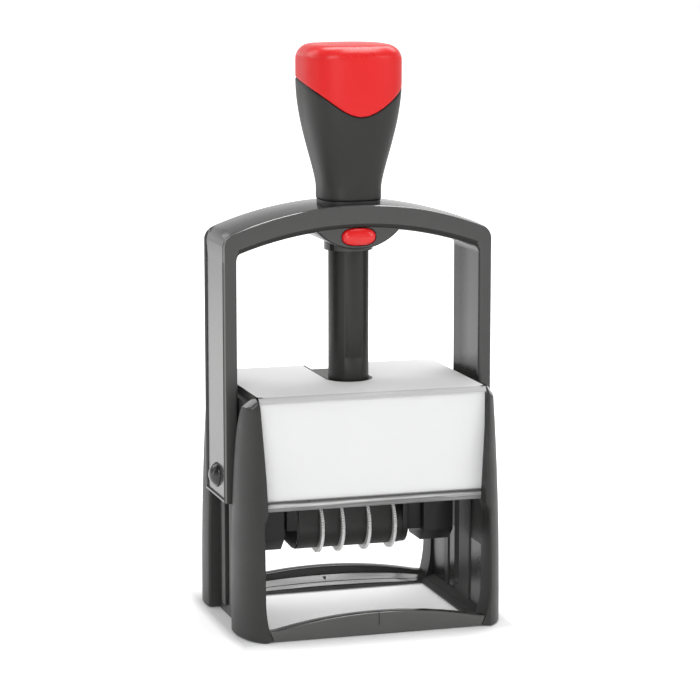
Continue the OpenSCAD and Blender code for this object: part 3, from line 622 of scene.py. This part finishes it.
def bridge_section(station):
    """Ring round the band: rear rim, sunk panel, front rim, bright edge, bevel and inner groove."""
    (xi, zi), (xo, zo), outer, inner, bev = station
    length = math.hypot(xo - xi, zo - zi)
    nx, nz = (xo - xi) / length, (zo - zi) / length
    hd = BRIDGE_HD
    b = LEG_BEVEL + (ARCH_BEVEL - LEG_BEVEL) * bev
    sunk, deep = PANEL_D * outer, GROOVE_D * inner
    slope = RIM_SLOPE * (1 - bev) + CROWN * bev * (1 - EDGE_W / hd) ** 2
    groove = -hd + max(GROOVE_RIM, b + 0.4)
    rim = -hd + RIM_FRONT

    def outside(leg_d, y):
        return "o", leg_d * (1 - bev) + CROWN * bev * (y / hd) ** 2, y

    pts = [("o", CROWN * bev + REAR_R * (1 - math.sin(t)), hd - REAR_R * (1 - math.cos(t)))
           for t in (0, 0.4, 0.8, 1.2, math.pi / 2)]
    pts += [outside(0.0, hd - RIM_REAR), outside(sunk, hd - RIM_REAR - 0.3)]
    pts += [outside(sunk, y) for y in (8.0, 4.0, 0.0, -4.0)]
    pts += [outside(sunk, rim + 0.25), outside(0.12 * outer, rim), outside(0.0, rim - 0.2),
            outside(0.06, rim - 0.5), outside(RIM_SLOPE / 2, -hd + RIM_FRONT / 2)]
    pts += [("o", slope, -hd + EDGE_W), ("o", slope + EDGE_H, -hd + 0.08), ("o", slope + EDGE_H + 0.12, -hd)]
    pts += [("i", b * (1 - math.sin(t)), -hd + b * (1 - math.cos(t))) for t in QUARTER]
    pts += [("i", 0.0, groove), ("i", deep, groove + 0.3), ("i", deep, 0.0), ("i", deep, GROOVE_END),
            ("i", 0.0, hd - 0.6), ("i", 0.0, hd - 0.3), ("i", 0.3, hd)]
    ring = []
    for side, d, y in pts:
        if side == "o":
            ring.append((xo - nx * d, y, zo - nz * d))
        else:
            ring.append((xi + nx * d, y, zi + nz * d))
    return ring


def bridge_finish(face):
    """Matt front and rear, gloss panel, edge painted light as a highlight, satin inside, bevel and rim
    painted dark as shade.
    """
    x, y, z = face.center / MM
    n = face.normal
    outward = n.x * x + n.z * (z - 70) > 0
    # Downward-facing bevel faces get the darker copy: painted shade
    if -0.95 < n.y < -0.2 and n.z < -0.3:
        return "bridge_rim"
    if abs(n.y) > 0.62:
        return "bridge_plastic"
    # Front-top edge faces painted light: a painted highlight
    if outward and n.y < -0.3 and y < -BRIDGE_HD + 0.9:
        return "bridge_edge"
    # The legs' front rim strip gets the darker copy too: painted shade
    if outward and y < -BRIDGE_HD + RIM_FRONT and z < PANEL_TOP:
        return "bridge_rim"
    return "bridge_gloss" if outward else "bridge_satin"


def boss_tool():
    """Lens-shaped boss under the middle of the arch, with rounded front and rear edges."""
    r = (BOSS_HW ** 2 + BOSS_SAG ** 2) / (2 * BOSS_SAG)
    edge = math.asin(BOSS_HW / r)
    lens = []
    for k in range(41):
        a = -edge + 2 * edge * k / 40
        lens.append((r * math.sin(a), BOSS_LOW + r - r * math.cos(a)))
    lens += [(BOSS_HW, BOSS_TOP), (-BOSS_HW, BOSS_TOP)]
    rings = []
    for d, y in ((0.9, -BOSS_Y), (0.35, -BOSS_Y + 0.25), (0.0, -BOSS_Y + 0.9), (0.0, BOSS_Y - 0.9),
                 (0.35, BOSS_Y - 0.25), (0.9, BOSS_Y)):
        ring = []
        for x, z in lens:
            lift = d * (1 - abs(x) / BOSS_HW) if z < BOSS_TOP - 1 else 0.0
            ring.append((x * (1 - d / BOSS_HW), y, z + lift))
        rings.append(ring)
    bm = bmesh.new()
    cap_ends(bm, add_rings(bm, rings))
    return tool_from(bm)


def build_bridge():
    right = bridge_stations()
    left = [((-a[0], a[1]), (-b[0], b[1]), o, i, v) for a, b, o, i, v in reversed(right[:-1])]
    bm = bmesh.new()
    cap_ends(bm, add_rings(bm, [bridge_section(s) for s in right + left]))
    bridge = make("bridge_arch", bm, "bridge_plastic", "bridge", "bridge_frame")
    carve(bridge, boss_tool(), "UNION")
    carve(bridge, tool_from(prism(circle(RING_R, 96), RING_LOW, RING_TOP, upright)), "UNION")
    carve(bridge, tool_from(prism(circle(GUIDE_R, 96), 120.0, 145.0, upright)), "DIFFERENCE")
    pocket = prism(oval(POCKET_W, POCKET_H), -16.0, POCKET_END, lambda a, b, h: (a, h, BUTTON_Z + b))
    carve(bridge, tool_from(pocket), "DIFFERENCE")
    slot_hw = TONGUE_HW + TONGUE_PLAY
    slot = rect(-slot_hw, slot_hw, TONGUE_LOW - TONGUE_PLAY, TONGUE_TOP + TONGUE_PLAY)
    carve(bridge, tool_from(prism(slot, -9.0, -5.0, lambda a, b, h: (a, h, b))), "DIFFERENCE")
    for side in (-1, 1):
        hole = prism(circle(AXLE_HOLE_R, 48), 40.0, 48.0, lambda a, b, h: (side * h, a, AXLE_Z + b))
        carve(bridge, tool_from(hole), "DIFFERENCE")
    paint(bridge, BRIDGE_FINISHES, bridge_finish)
    smooth_faces(bridge.data)


build_bridge()

# Side frames: lofted pillars on a glossy inner wall with ribs, a slot and outer rails
WALL_X, WALL_OUT, WALL_TOP, FIN_TOP_Y, WALL_LAP = 39.5, 41.9, 78.285, 27.6, 0.3
PILLAR_X, PILLAR_Y, NOSE_Y, SILL_HW, SILL_Y = 46.0, 37.0, 20.0, 36.0, 35.1
PILLAR_TOP, REAR_TOP, FIN_Y, FIN_Z = 80.785, 76.585, 15.0, 40.5
LIP_LOW, CARD_LOW, LIP_Y, BAR_HD = 42.5, 46.0, 29.7, 26.5
WAIST_X, LIP_IN, BROW_X, FOOT_H, FACET, BROW = 38.8, 37.6, 39.3, 16.0, 3.4, 2.2
FACET_W, GLOSS_TOP = 2.6, 25.5
OUT_CURVE, FRONT_CURVE, TOP_EASE = 2200, 1444, 0.12
NOSE_END, NOSE_STEPS, REAR_CORNER, REAR_STEPS = math.radians(72), 28, 0.9, 4
INNER_SOFT, INNER_SLOPE = 0.7, 0.36
SLOT_LOW, SLOT_W, RAIL_LOW = 8.5, 5.6, 3.6
# Plans as (y, x): the wall with its two ribs, and the front one of the rails beside the slot
WALL_PLAN = [(-FIN_TOP_Y, WALL_OUT), (-FIN_TOP_Y, WALL_X), (-13.8, WALL_X), (-13.4, 39.05), (2.1, 39.4),
             (2.3, WALL_X), (8.4, WALL_X), (8.7, 39.1), (12.6, 39.4), (12.9, WALL_X), (FIN_TOP_Y, WALL_X),
             (FIN_TOP_Y, WALL_OUT)]
RAIL_PLAN = [(2.8, 41.5), (7.4, 41.5), (7.4, 42.8), (7.1, 43.0), (3.1, 43.0), (2.8, 42.8)]
# Spans along Y of the polished panels between the ribs
PANELS = ((-27.7, -13.8), (2.2, 8.5), (12.8, 27.7))
FRAME_FINISHES = ("wall_gloss", "frame_plastic", "facet_plastic", "inner_frame")


def pillar_inner(z, top):
    """Inner face of a pillar at height z: spread foot, waist, lip of the cover, then out to the brow."""
    if z < FOOT_H:
        return WAIST_X - (WAIST_X - SILL_HW) * (1 - z / FOOT_H) ** 3
    if z < LIP_LOW - 3:
        return WAIST_X
    if z < LIP_LOW:
        return WAIST_X - (WAIST_X - LIP_IN) * (z - LIP_LOW + 3) / 3
    if z < CARD_LOW:
        return LIP_IN
    return LIP_IN + (BROW_X - LIP_IN) * (z - CARD_LOW) / (top - CARD_LOW)


def pillar_ring(z, top, inset=0.0):
    """Section of a pillar at height z: flat back, nose ellipse in front, soft inner corner."""
    x_out = PILLAR_X - max(0.0, z - 10) ** 2 / OUT_CURVE
    x_out -= max(0.0, z - (top - FACET)) * FACET_W / FACET + inset
    brow = min(1.0, max(0.0, (z - top + BROW) / BROW))
    y_front = PILLAR_Y - z * z / FRONT_CURVE - BROW * (1 - math.sqrt(1 - brow * brow)) - inset
    u = min(1.0, max(0.0, (z - FIN_Z) / (top - FIN_Z)))
    y_rear = FIN_Y + (FIN_TOP_Y - FIN_Y) * (1 - math.sqrt(1 - u * u)) + inset
    x_in = pillar_inner(z, top) + inset
    a, b = x_out - SILL_HW, y_front - NOSE_Y
    t0 = math.asin(max(-0.9, min(0.9, (y_rear + REAR_CORNER - NOSE_Y) / b)))
    t1 = min(NOSE_END, math.acos(min(1.0, (x_in + INNER_SOFT - SILL_HW) / a)))
    ring = [(WALL_X + WALL_LAP, y_rear)]
    corner = (SILL_HW + a * math.cos(t0) - REAR_CORNER, y_rear + REAR_CORNER)
    for k in range(REAR_STEPS + 1):
        ring.append(on_arc(corner, REAR_CORNER, math.pi / 2 * (k / REAR_STEPS - 1)))
    for k in range(1, NOSE_STEPS + 1):
        t = t0 + (t1 - t0) * k / NOSE_STEPS
        ring.append((SILL_HW + a * math.cos(t), NOSE_Y + b * math.sin(t)))
    xe, ye = ring[-1]
    corner_y = ye - INNER_SLOPE * max(0.0, xe - x_in)
    step = min(LIP_Y if z > LIP_LOW - 0.05 else BAR_HD, corner_y - INNER_SOFT - 0.2)
    ring.append((x_in + INNER_SOFT * 0.3, corner_y - INNER_SOFT * 0.15))
    ring.append((x_in, corner_y - INNER_SOFT))
    ring.append((x_in, step))
    ring.append((WALL_X + WALL_LAP, step))
    return ring


def pillar_levels(top):
    low = [0.0, 0.35, 1.0] + [2.0 * k for k in range(1, 9)]
    mid = [18.0, 22.0, 26.0, 30.0, 34.0, 37.0, LIP_LOW - 3, LIP_LOW - 1.5, LIP_LOW - 0.1, LIP_LOW, CARD_LOW]
    high = [49.0, 53.0, 57.0, 61.0, 64.0, 67.0, 70.0, 72.0]
    high += [z for z in (74.0, 76.0) if z < top - FACET - 0.5]
    return low + mid + high + [top - drop for drop in (FACET, 2.8, 2.2, 1.6, 1.0, 0.5, TOP_EASE, 0.0)]


def add_pillar(bm, side, front, top):
    insets = {0.0: 0.35, top - TOP_EASE: 0.1, top: 0.35}
    rings = []
    for z in pillar_levels(top):
        ring = pillar_ring(z, top, insets.get(z, 0.0))
        rings.append([(side * x, front * y, z) for x, y in ring])
    cap_ends(bm, add_rings(bm, rings))


def frame_finish(face, side):
    """Polished low panels, matt outside, a glossier facet painted lighter as a highlight, satin inside."""
    x, y, z = face.center / MM
    n = face.normal
    front = math.copysign(1, y)
    top = PILLAR_TOP if y < 0 else REAR_TOP
    # The facet's lighter colour is a painted highlight
    if z > top - FACET and n.x * side > 0.45 and n.z > 0.4 and n.y * front < 0.5:
        return "facet_plastic"
    if abs(x) > WALL_OUT or max(n.x * side, n.y * front) > 0.25 or n.z > 0.5:
        return "frame_plastic"
    on_wall = n.x * side < -0.9 and abs(abs(x) - WALL_X) < 0.05 and z < GLOSS_TOP
    if on_wall and any(low < y < high for low, high in PANELS):
        return "wall_gloss"
    return "inner_frame"


def build_side_frame(name, side):
    bm = bmesh.new()
    rings = [[(side * x, y, h) for y, x in WALL_PLAN] for h in (0.0, GLOSS_TOP, WALL_TOP)]
    cap_ends(bm, add_rings(bm, rings))
    wall = make(name + "_shell", bm, "frame_plastic", "base", name)
    for front in (-1, 1):
        rail = prism(RAIL_PLAN, RAIL_LOW, WALL_TOP, lambda a, b, h: (side * b, front * a, h))
        carve(wall, tool_from(rail), "UNION")
    mid = (SLOT_LOW + AXLE_Z) / 2
    slot = stadium(AXLE_Z - SLOT_LOW + SLOT_W, SLOT_W)
    carve(wall, tool_from(prism(slot, 38.0, 44.0, lambda a, b, h: (side * h, b, mid + a))), "DIFFERENCE")
    bm = bmesh.new()
    bm.from_mesh(wall.data)
    add_pillar(bm, side, -1, PILLAR_TOP)
    add_pillar(bm, side, 1, REAR_TOP)
    bmesh.ops.recalc_face_normals(bm, faces=bm.faces)
    bm.to_mesh(wall.data)
    bm.free()
    paint(wall, FRAME_FINISHES, lambda face: frame_finish(face, side))
    smooth_faces(wall.data, 30)


build_side_frame("left_side_frame", -1)
build_side_frame("right_side_frame", 1)


# Window frame: arched sills lofted along X, joined by low side bars with screw tabs
WINDOW_HW, WINDOW_HD, SILL_MID, SILL_END, SILL_GAP = 35.0, 25.5, 7.5, 3.4, 0.08
SILL_R = ((SILL_MID - SILL_END) ** 2 + SILL_HW ** 2) / (2 * (SILL_MID - SILL_END))
SILL_ROUND, STEP_ROUND, STEP_Y, STEP_Z, SILL_STEPS = 0.9, 0.75, 31.0, 6.75, 60
BAR_OUT = WALL_X - 0.1
BAR_SECTION = [(WINDOW_HW + 0.15, 0.0), (WINDOW_HW, 0.15), (WINDOW_HW, 0.55), (WINDOW_HW + 0.2, 0.8),
               (36.9, 1.7), (37.0, 2.0), (37.25, 2.1), (BAR_OUT, 3.5), (BAR_OUT, 0.0)]
TAB, TAB_LOW, TAB_TOP = rect(38.5, 44.1, 18.2, 24.5), 0.05, 2.0
SCREW_R, SCREW_X, SCREW_Y = 2.2, 42.2, 21.35
MARK = rect(-0.22, 0.22, 3.2, 8.0)
ARROW = [(-0.9, 4.4), (0.0, 3.0), (0.9, 4.4)]
SILL_FINISHES = ("gloss_frame", "sill_plastic", "inner_frame", "bridge_edge", "bridge_plastic")


def sill_section():
    """Side outline (y, z) at the middle: toe, glossy slope, steep step, flat top, rounded front edge."""
    pts = [(WINDOW_HD + 0.2, 0.0), (WINDOW_HD, 0.2), (WINDOW_HD, 1.3), (WINDOW_HD + 0.12, 1.5),
           (WINDOW_HD + 0.4, 1.72), (27.3, 2.61), (27.5, 2.46), (27.62, 2.81), (30.2, 4.45), (30.42, 4.62),
           (30.55, 4.9), (STEP_Y, STEP_Z)]
    pts += [(STEP_Y + STEP_ROUND * (1 - math.cos(t)), STEP_Z + STEP_ROUND * math.sin(t))
            for t in (0.4, 0.8, 1.2, math.pi / 2)]
    pts += [(SILL_Y - SILL_ROUND * (1 - math.sin(t)), SILL_MID - SILL_ROUND * (1 - math.cos(t)))
            for t in QUARTER]
    return pts + [(SILL_Y, 3.0), (SILL_Y, 0.3), (SILL_Y - 0.3, 0.0)]


def add_sill(bm, front):
    """One arched sill; its ends follow the inner faces of the pillars."""
    rings = []
    for k in range(SILL_STEPS + 1):
        x = -SILL_HW + 2 * SILL_HW * k / SILL_STEPS
        h = SILL_MID - SILL_R + math.sqrt(SILL_R ** 2 - x * x)
        ring = [(x, front * y, z * h / SILL_MID) for y, z in sill_section()]
        if k in (0, SILL_STEPS):
            ring = [(math.copysign(pillar_inner(z, PILLAR_TOP) - SILL_GAP, x), y, z) for x, y, z in ring]
        rings.append(ring)
    cap_ends(bm, add_rings(bm, rings))


def sill_finish(face):
    """Glossy slopes, satin outer faces, outer edges painted light as a highlight, dark side bars, steps in
    the lighter matt grey as painted light.
    """
    x, y, _ = face.center / MM
    n = face.normal
    if abs(y) > SILL_Y - 0.12:
        return "sill_plastic"
    # Front-top edges of the sills painted light: a painted highlight
    if abs(y) > SILL_Y - 0.95 and n.z > 0.2:
        return "bridge_edge"
    if abs(x) > WINDOW_HW and abs(y) < WINDOW_HD:
        return "inner_frame"
    # Near-vertical faces (steps, toes) take the lighter matt bridge grey instead of the dark gloss: painted
    # light
    return "bridge_plastic" if abs(n.y) > 0.7 else "gloss_frame"


def build_window_frame():
    bm = bmesh.new()
    add_sill(bm, -1)
    add_sill(bm, 1)
    sills = make("window_frame_ring", bm, "gloss_frame", "base", "window_frame")
    for side in (-1, 1):
        bar = prism(BAR_SECTION, -BAR_HD, BAR_HD, lambda a, b, h: (side * a, h, b))
        carve(sills, tool_from(bar), "UNION")
        for front in (-1, 1):
            tab = prism(TAB, TAB_LOW, TAB_TOP, lambda a, b, h: (side * a, front * b, h))
            carve(sills, tool_from(tab), "UNION")
            hole = prism(circle(SCREW_R, 40, side * SCREW_X, front * SCREW_Y), -1.0, 1.0, upright)
            carve(sills, tool_from(hole), "DIFFERENCE")
    for outline, low, high in ((MARK, -36.0, -34.75), (ARROW, 25.0, 29.6)):
        carve(sills, tool_from(prism(outline, low, high, lambda a, b, h: (a, h, b))), "DIFFERENCE")
    paint(sills, SILL_FINISHES, sill_finish)
    smooth_faces(sills.data)


build_window_frame()

# Clear index cover: a bent sheet with a rounded front edge and a grooved lip
COVER_Y, COVER_T, CASE_X, CASE_Y, CASE_TOP, EDGE_R = 29.6, 0.9, 39.3, 28.4, 80.685, 2.0
GROOVE_LOW, GROOVE_IN, END_ROUND, LAP = 2.8, 0.75, 0.2, 0.02
NOTCH_R, NOTCH_END, NOTCH_LOW, NOTCH_TOP, NOTCH_STEPS = 8.2, 40.0, 77.0, 83.0, 40
COVER_FINISHES = ("clear_plastic", "lip_plastic", "sill_plastic", "cover_edge", "cover_satin", "lip_groove")


def notch_tool():
    """Notch for the column in the cover and the card: round in front, open to the rear."""
    turns = [math.pi * (1 + k / NOTCH_STEPS) for k in range(NOTCH_STEPS + 1)]
    outline = [on_arc((0.0, 0.0), NOTCH_R, t) for t in turns] + [(NOTCH_R, NOTCH_END), (-NOTCH_R, NOTCH_END)]
    return tool_from(prism(outline, NOTCH_LOW, NOTCH_TOP, upright))


def bend_line(front, top, inset, r, steps):
    """Quarter turn of radius r in a sheet's side outline, from the front up to the top."""
    turns = [math.pi / 2 * k / steps for k in range(steps + 1)]
    return [(front + inset - r * math.cos(t), top - inset + r * math.sin(t)) for t in turns]


def cover_finish(face):
    """Clear front, lip with painted reflections and a groove painted dull grey as shade, ends painted opaque
    grey as shade, bend painted mid-grey as shade, satin top.
    """
    # End faces of the clear sheet painted opaque sill grey for the crevice beside the wall: painted shade
    if abs(face.normal.x) > 0.9:
        return "sill_plastic"
    y, z = face.center.y / MM, face.center.z / MM
    if z < CARD_LOW + 2 * LAP:
        in_groove = z > LIP_LOW + GROOVE_LOW - 0.05 and y > -COVER_Y + 0.3
        return "lip_groove" if in_groove else "lip_plastic"
    if face.normal.z < 0.1:
        return "clear_plastic"
    # Bend faces painted mid-grey as shade, top in satin white
    return "cover_edge" if face.normal.z < 0.99 else "cover_satin"


def build_cover():
    front, top, low, behind = -COVER_Y, CASE_TOP, LIP_LOW, -CASE_Y - LAP
    lip = [(behind, low), (front + 0.25, low), (front, low + 0.25), (front, low + 1.55),
           (front + 0.12, low + 1.68), (front, low + 1.85), (front, low + 2.6),
           (front + 0.15, low + GROOVE_LOW), (front + GROOVE_IN, low + GROOVE_LOW),
           (front + GROOVE_IN, CARD_LOW), (front + 0.1, CARD_LOW), (front, CARD_LOW + 0.1)]
    bend = bend_line(front, top, EDGE_R, EDGE_R, 10)
    end = [(CASE_Y - 0.1, top), (CASE_Y, top - 0.1), (CASE_Y, top - COVER_T + LAP)]
    back = bend_line(front, top, EDGE_R, EDGE_R - COVER_T, 10)[::-1]
    close = [(front + COVER_T, CARD_LOW + LAP), (behind, CARD_LOW + LAP)]
    rings = []
    for x, inset in ((-CASE_X, END_ROUND), (-CASE_X + END_ROUND, 0.0), (0.0, 0.0), (CASE_X - END_ROUND, 0.0),
                     (CASE_X, END_ROUND)):
        ring = [(x, y + (inset if y < -CASE_Y - 0.5 else 0), z) for y, z in lip + bend + end + back + close]
        rings.append(ring)
    bm = bmesh.new()
    cap_ends(bm, add_rings(bm, rings))
    cover = make("index_cover_sheet", bm, "clear_plastic", "base", "index_cover")
    carve(cover, notch_tool(), "DIFFERENCE")
    paint(cover, COVER_FINISHES, cover_finish)
    smooth_faces(cover.data, 40)


build_cover()

# White card behind the cover, bent over the front edge
CARD_T, CARD_HW, ROOF_TOP = 0.3, CASE_X - 0.4, 79.485


def build_card():
    front, top, low = -CASE_Y - CARD_T, ROOF_TOP + CARD_T, CARD_LOW + 0.05
    bend = EDGE_R - COVER_T - LAP
    outer = bend_line(front, top, bend, bend, 8)
    inner = bend_line(front, top, bend, bend - CARD_T, 8)[::-1]
    outline = [(front, low)] + outer + [(CASE_Y, top), (CASE_Y, ROOF_TOP)] + inner + [(front + CARD_T, low)]
    bm = prism(outline, -CARD_HW, CARD_HW, lambda a, b, h: (h, a, b))
    card = make("index_card_sheet", bm, "white_card", "base", "index_card")
    carve(card, notch_tool(), "DIFFERENCE")
    smooth_faces(card.data)


build_card()

# Ink pad: a felt block with soft edges and a crowned inking face
PAD_HX, PAD_HY, PAD_LOW, PAD_TOP, PAD_CORNER, PAD_STEPS = 34.0, 24.5, 63.285, 69.785, 2.2, 8


def pad_outline(inset):
    pts = []
    for cx, cy, start in ((1, 1, 0.0), (-1, 1, 0.5), (-1, -1, 1.0), (1, -1, 1.5)):
        corner = (cx * (PAD_HX - PAD_CORNER), cy * (PAD_HY - PAD_CORNER))
        for k in range(PAD_STEPS + 1):
            pts.append(on_arc(corner, PAD_CORNER - inset, math.pi * (start + 0.5 * k / PAD_STEPS)))
    return pts


def build_ink_pad():
    face_z = PAD_LOW + 0.02
    rings = []
    for inset, z in ((1.0, PAD_TOP), (0.3, PAD_TOP - 0.15), (0.05, PAD_TOP - 0.7), (0.12, PAD_LOW + 3.2),
                     (0.05, PAD_LOW + 1.4), (0.3, PAD_LOW + 0.75), (1.0, PAD_LOW + 0.4)):
        rings.append([(x, y, z) for x, y in pad_outline(inset)])
    for share, rise in ((0.85, 0.24), (0.65, 0.12), (0.4, 0.04), (0.15, 0.0)):
        rings.append([(x * share, y * share, face_z + rise) for x, y in pad_outline(1.0)])
    bm = bmesh.new()
    made = add_rings(bm, rings)
    bm.faces.new(made[0])
    fan(bm, made[-1], (0, 0, face_z))
    pad = make("ink_pad_felt", bm, "ink_felt", "tray", "ink_pad", angle=50)


build_ink_pad()

# Return spring: a real coil
SPRING_LOW, SPRING_R, WIRE_R, STROKE = 95.3, 3.65, 0.5, 41.5
COIL_TURNS, TURN_STEPS, WIRE_SIDES, DEAD_TURNS = 15, 24, 8, 1.2


def build_spring():
    low, high = SPRING_LOW, BORE_TOP - 0.1
    dead = DEAD_TURNS / COIL_TURNS
    total = COIL_TURNS * TURN_STEPS
    rings = []
    for k in range(total + 1):
        t = k / total
        climb = min(1.0, max(0.0, (t - dead) / (1 - 2 * dead)))
        z = low + WIRE_R + (high - low - 2 * WIRE_R) * climb
        a = 2 * math.pi * COIL_TURNS * t
        rings.append([(*on_arc((0.0, 0.0), SPRING_R + u, a), z + v) for u, v in circle(WIRE_R, WIRE_SIDES)])
    bm = bmesh.new()
    cap_ends(bm, add_rings(bm, rings))
    o = make("return_spring_coil", bm, "steel", "bridge", "return_spring", angle=60)
    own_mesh(o)


build_spring()

# Solids that keep their own shape get worked edges, each of a width in mm
WORKED_EDGES = {
    "pad_case": 0.3, "guide_column": 0.2, "column_screw": 0.1, "frame_screws": 0.1, "pad_tray": 0.3,
    "handle_collar": 0.25, "axle_pin_left": 0.15, "axle_pin_right": 0.15, "button_spring": 0.05,
    "die_carrier": 0.4, "text_plate": 0.15, "text_die": 0.2, "date_cheek_left": 0.2, "date_cheek_right": 0.2,
    "wheel_shaft": 0.1, "band_platen": 0.1, "end_drum": 0.3,
}
for k in range(1, 5):
    WORKED_EDGES[f"date_band_{k}"] = 0.15
    WORKED_EDGES[f"date_wheel_{k}"] = 0.0
for name, width in WORKED_EDGES.items():
    polish(name, width)


# Camera at the photograph's view
cam = bpy.data.objects.new("camera", bpy.data.cameras.new("camera"))
scene.collection.objects.link(cam)
cam.location = (-0.27114, -0.89101, 0.24675)
cam.rotation_euler = (math.radians(80.46), 0, math.radians(-16.96))
cam.data.lens = 143.07
cam.data.sensor_width = 36.0
cam.data.clip_start = 0.01
scene.camera = cam


# Light
def area(name, place, aim, size, power, size_y=None):
    """Soft lamp of a size in m and a power in W, turned to a point."""
    data = bpy.data.lights.new(name, "AREA")
    data.energy = power
    data.size = size
    if size_y:
        data.shape = "RECTANGLE"
        data.size_y = size_y
    o = bpy.data.objects.new(name, data)
    scene.collection.objects.link(o)
    o.location = place
    o.rotation_euler = (Vector(aim) - Vector(place)).to_track_quat("-Z", "Y").to_euler()


area("key", (-0.55, -0.85, 0.75), (0, 0, 0.08), 0.6, 3.5)
area("low", (-0.25, -0.95, 0.12), (0, 0, 0.04), 0.5, 1.6)
area("fill", (0.75, -0.75, 0.45), (0, 0, 0.09), 0.6, 2.3)
area("top", (0.13, 0.36, 0.92), (0, 0, 0.08), 0.55, 3.8, 0.4)
area("crown", (0.22, -0.06, 0.95), (0, 0, 0.15), 0.45, 2.2, 0.3)
area("edge", (0.54, 0.50, 0.73), (0.03, -0.01, 0.135), 0.5, 1.2, 0.25)
area("side", (-0.95, 0.15, 0.35), (0, 0, 0.12), 0.25, 0.8, 0.8)
area("kicker", (-0.54, 0.55, 0.65), (-0.043, -0.03, 0.08), 0.5, 1.4)

# Strengths of the room's light and, in reflections, of its horizon and the sky above it
AMBIENT, HORIZON, OVERHEAD = 0.39, 0.54, -0.10


def seen_rays(nt):
    """Light path node, and its share of rays straight from the camera or through the cover."""
    path = nt.nodes.new("ShaderNodeLightPath")
    return path, math_node(nt, "MAXIMUM", path.outputs["Is Camera Ray"], path.outputs["Is Transmission Ray"])


def build_room():
    """White surroundings that light the stamp dimly and show a brighter horizon in its glossy faces."""
    world = bpy.data.worlds.new("world")
    scene.world = world
    world.use_nodes = True
    wt = world.node_tree
    back = wt.nodes["Background"]
    path, seen = seen_rays(wt)
    sky = wt.nodes.new("ShaderNodeSeparateXYZ")
    wt.links.new(wt.nodes.new("ShaderNodeTexCoord").outputs["Generated"], sky.inputs["Vector"])
    mirror = remap(wt, sky.outputs["Z"], 0.06, 0.40, HORIZON, OVERHEAD)
    mirror = math_node(wt, "MULTIPLY", path.outputs["Is Glossy Ray"], mirror)
    strength = math_node(wt, "ADD", remap(wt, seen, 0.0, 1.0, AMBIENT, 1.0), mirror)
    wt.links.new(strength, back.inputs["Strength"])
    back.inputs["Color"].default_value = (1, 1, 1, 1)


build_room()

# Strengths of the floor's own light: near the stamp, at its foot, where its fading paints a contact shadow,
# in the window, where its lower level paints shade, and in reflections
FLOOR_NEAR, FLOOR_FOOT_SHADOW, FLOOR_WINDOW = 0.42, 0.05, 0.30
MIRROR_FLOOR, MIRROR_WINDOW = 0.5, 0.56


def past(nt, hx, hy, steep_x=1.0):
    """How far a floor point lies outside a rectangle with half sides in mm, counted more steeply along X."""
    place = nt.nodes.new("ShaderNodeSeparateXYZ")
    nt.links.new(coords(nt), place.inputs["Vector"])
    over_x, over_y = [math_node(nt, "SUBTRACT", math_node(nt, "ABSOLUTE", place.outputs[k], 0.0), half * MM)
                      for k, half in (("X", hx), ("Y", hy))]
    return math_node(nt, "MAXIMUM", math_node(nt, "MULTIPLY", over_x, steep_x), over_y)


def floor_material():
    """Pale floor, lit a little by itself so that it stays white; its own light fades out round the stamp's
    foot, a painted contact shadow over the real one, and is lower in the window, painted shade there.
    """
    m, nt, bsdf = new_material("floor_mat")
    tone = noise(nt, coords(nt), 6.0, 2.0, 0.5)
    nt.links.new(mix_color(nt, tone, (0.86, 0.86, 0.86), (0.88, 0.88, 0.88)), bsdf.inputs["Base Color"])
    bsdf.inputs["Roughness"].default_value = 0.9
    bsdf.inputs["Emission Color"].default_value = (1, 1, 1, 1)
    path, seen = seen_rays(nt)
    reach = nt.nodes.new("ShaderNodeVectorMath")
    reach.operation = "LENGTH"
    nt.links.new(coords(nt), reach.inputs[0])
    outer = remap(nt, reach.outputs["Value"], 0.12, 0.6, FLOOR_NEAR, 1.0)
    window = remap(nt, past(nt, WINDOW_HW, WINDOW_HD), -0.002, 0.004, 1.0, 0.0)
    mirrored = math_node(nt, "MAXIMUM", outer, math_node(nt, "MULTIPLY", window, MIRROR_WINDOW))
    glossy = math_node(nt, "MULTIPLY", path.outputs["Is Glossy Ray"], MIRROR_FLOOR)
    mirrored = math_node(nt, "MULTIPLY", glossy, mirrored)
    # The fade round the foot, steeper along X, paints the contact shadow
    foot = remap(nt, past(nt, PILLAR_X, SILL_Y, 3.0), 0.001, 0.013, FLOOR_FOOT_SHADOW, 1.0)
    outer = math_node(nt, "MULTIPLY", outer, foot)
    inner = math_node(nt, "MULTIPLY", window, FLOOR_WINDOW)
    glow = math_node(nt, "MULTIPLY", seen, math_node(nt, "MAXIMUM", outer, inner))
    nt.links.new(math_node(nt, "MAXIMUM", glow, mirrored), bsdf.inputs["Emission Strength"])
    return m


def build_floor():
    bm = bmesh.new()
    bmesh.ops.create_grid(bm, x_segments=8, y_segments=8, size=4.0)
    mesh = bpy.data.meshes.new("floor")
    bm.to_mesh(mesh)
    bm.free()
    mesh.materials.append(floor_material())
    floor = bpy.data.objects.new("floor", mesh)
    floor.location = (0, 0, -0.0002)
    scene.collection.objects.link(floor)


build_floor()

scene.view_settings.view_transform = "Standard"

bpy.context.view_layer.update()
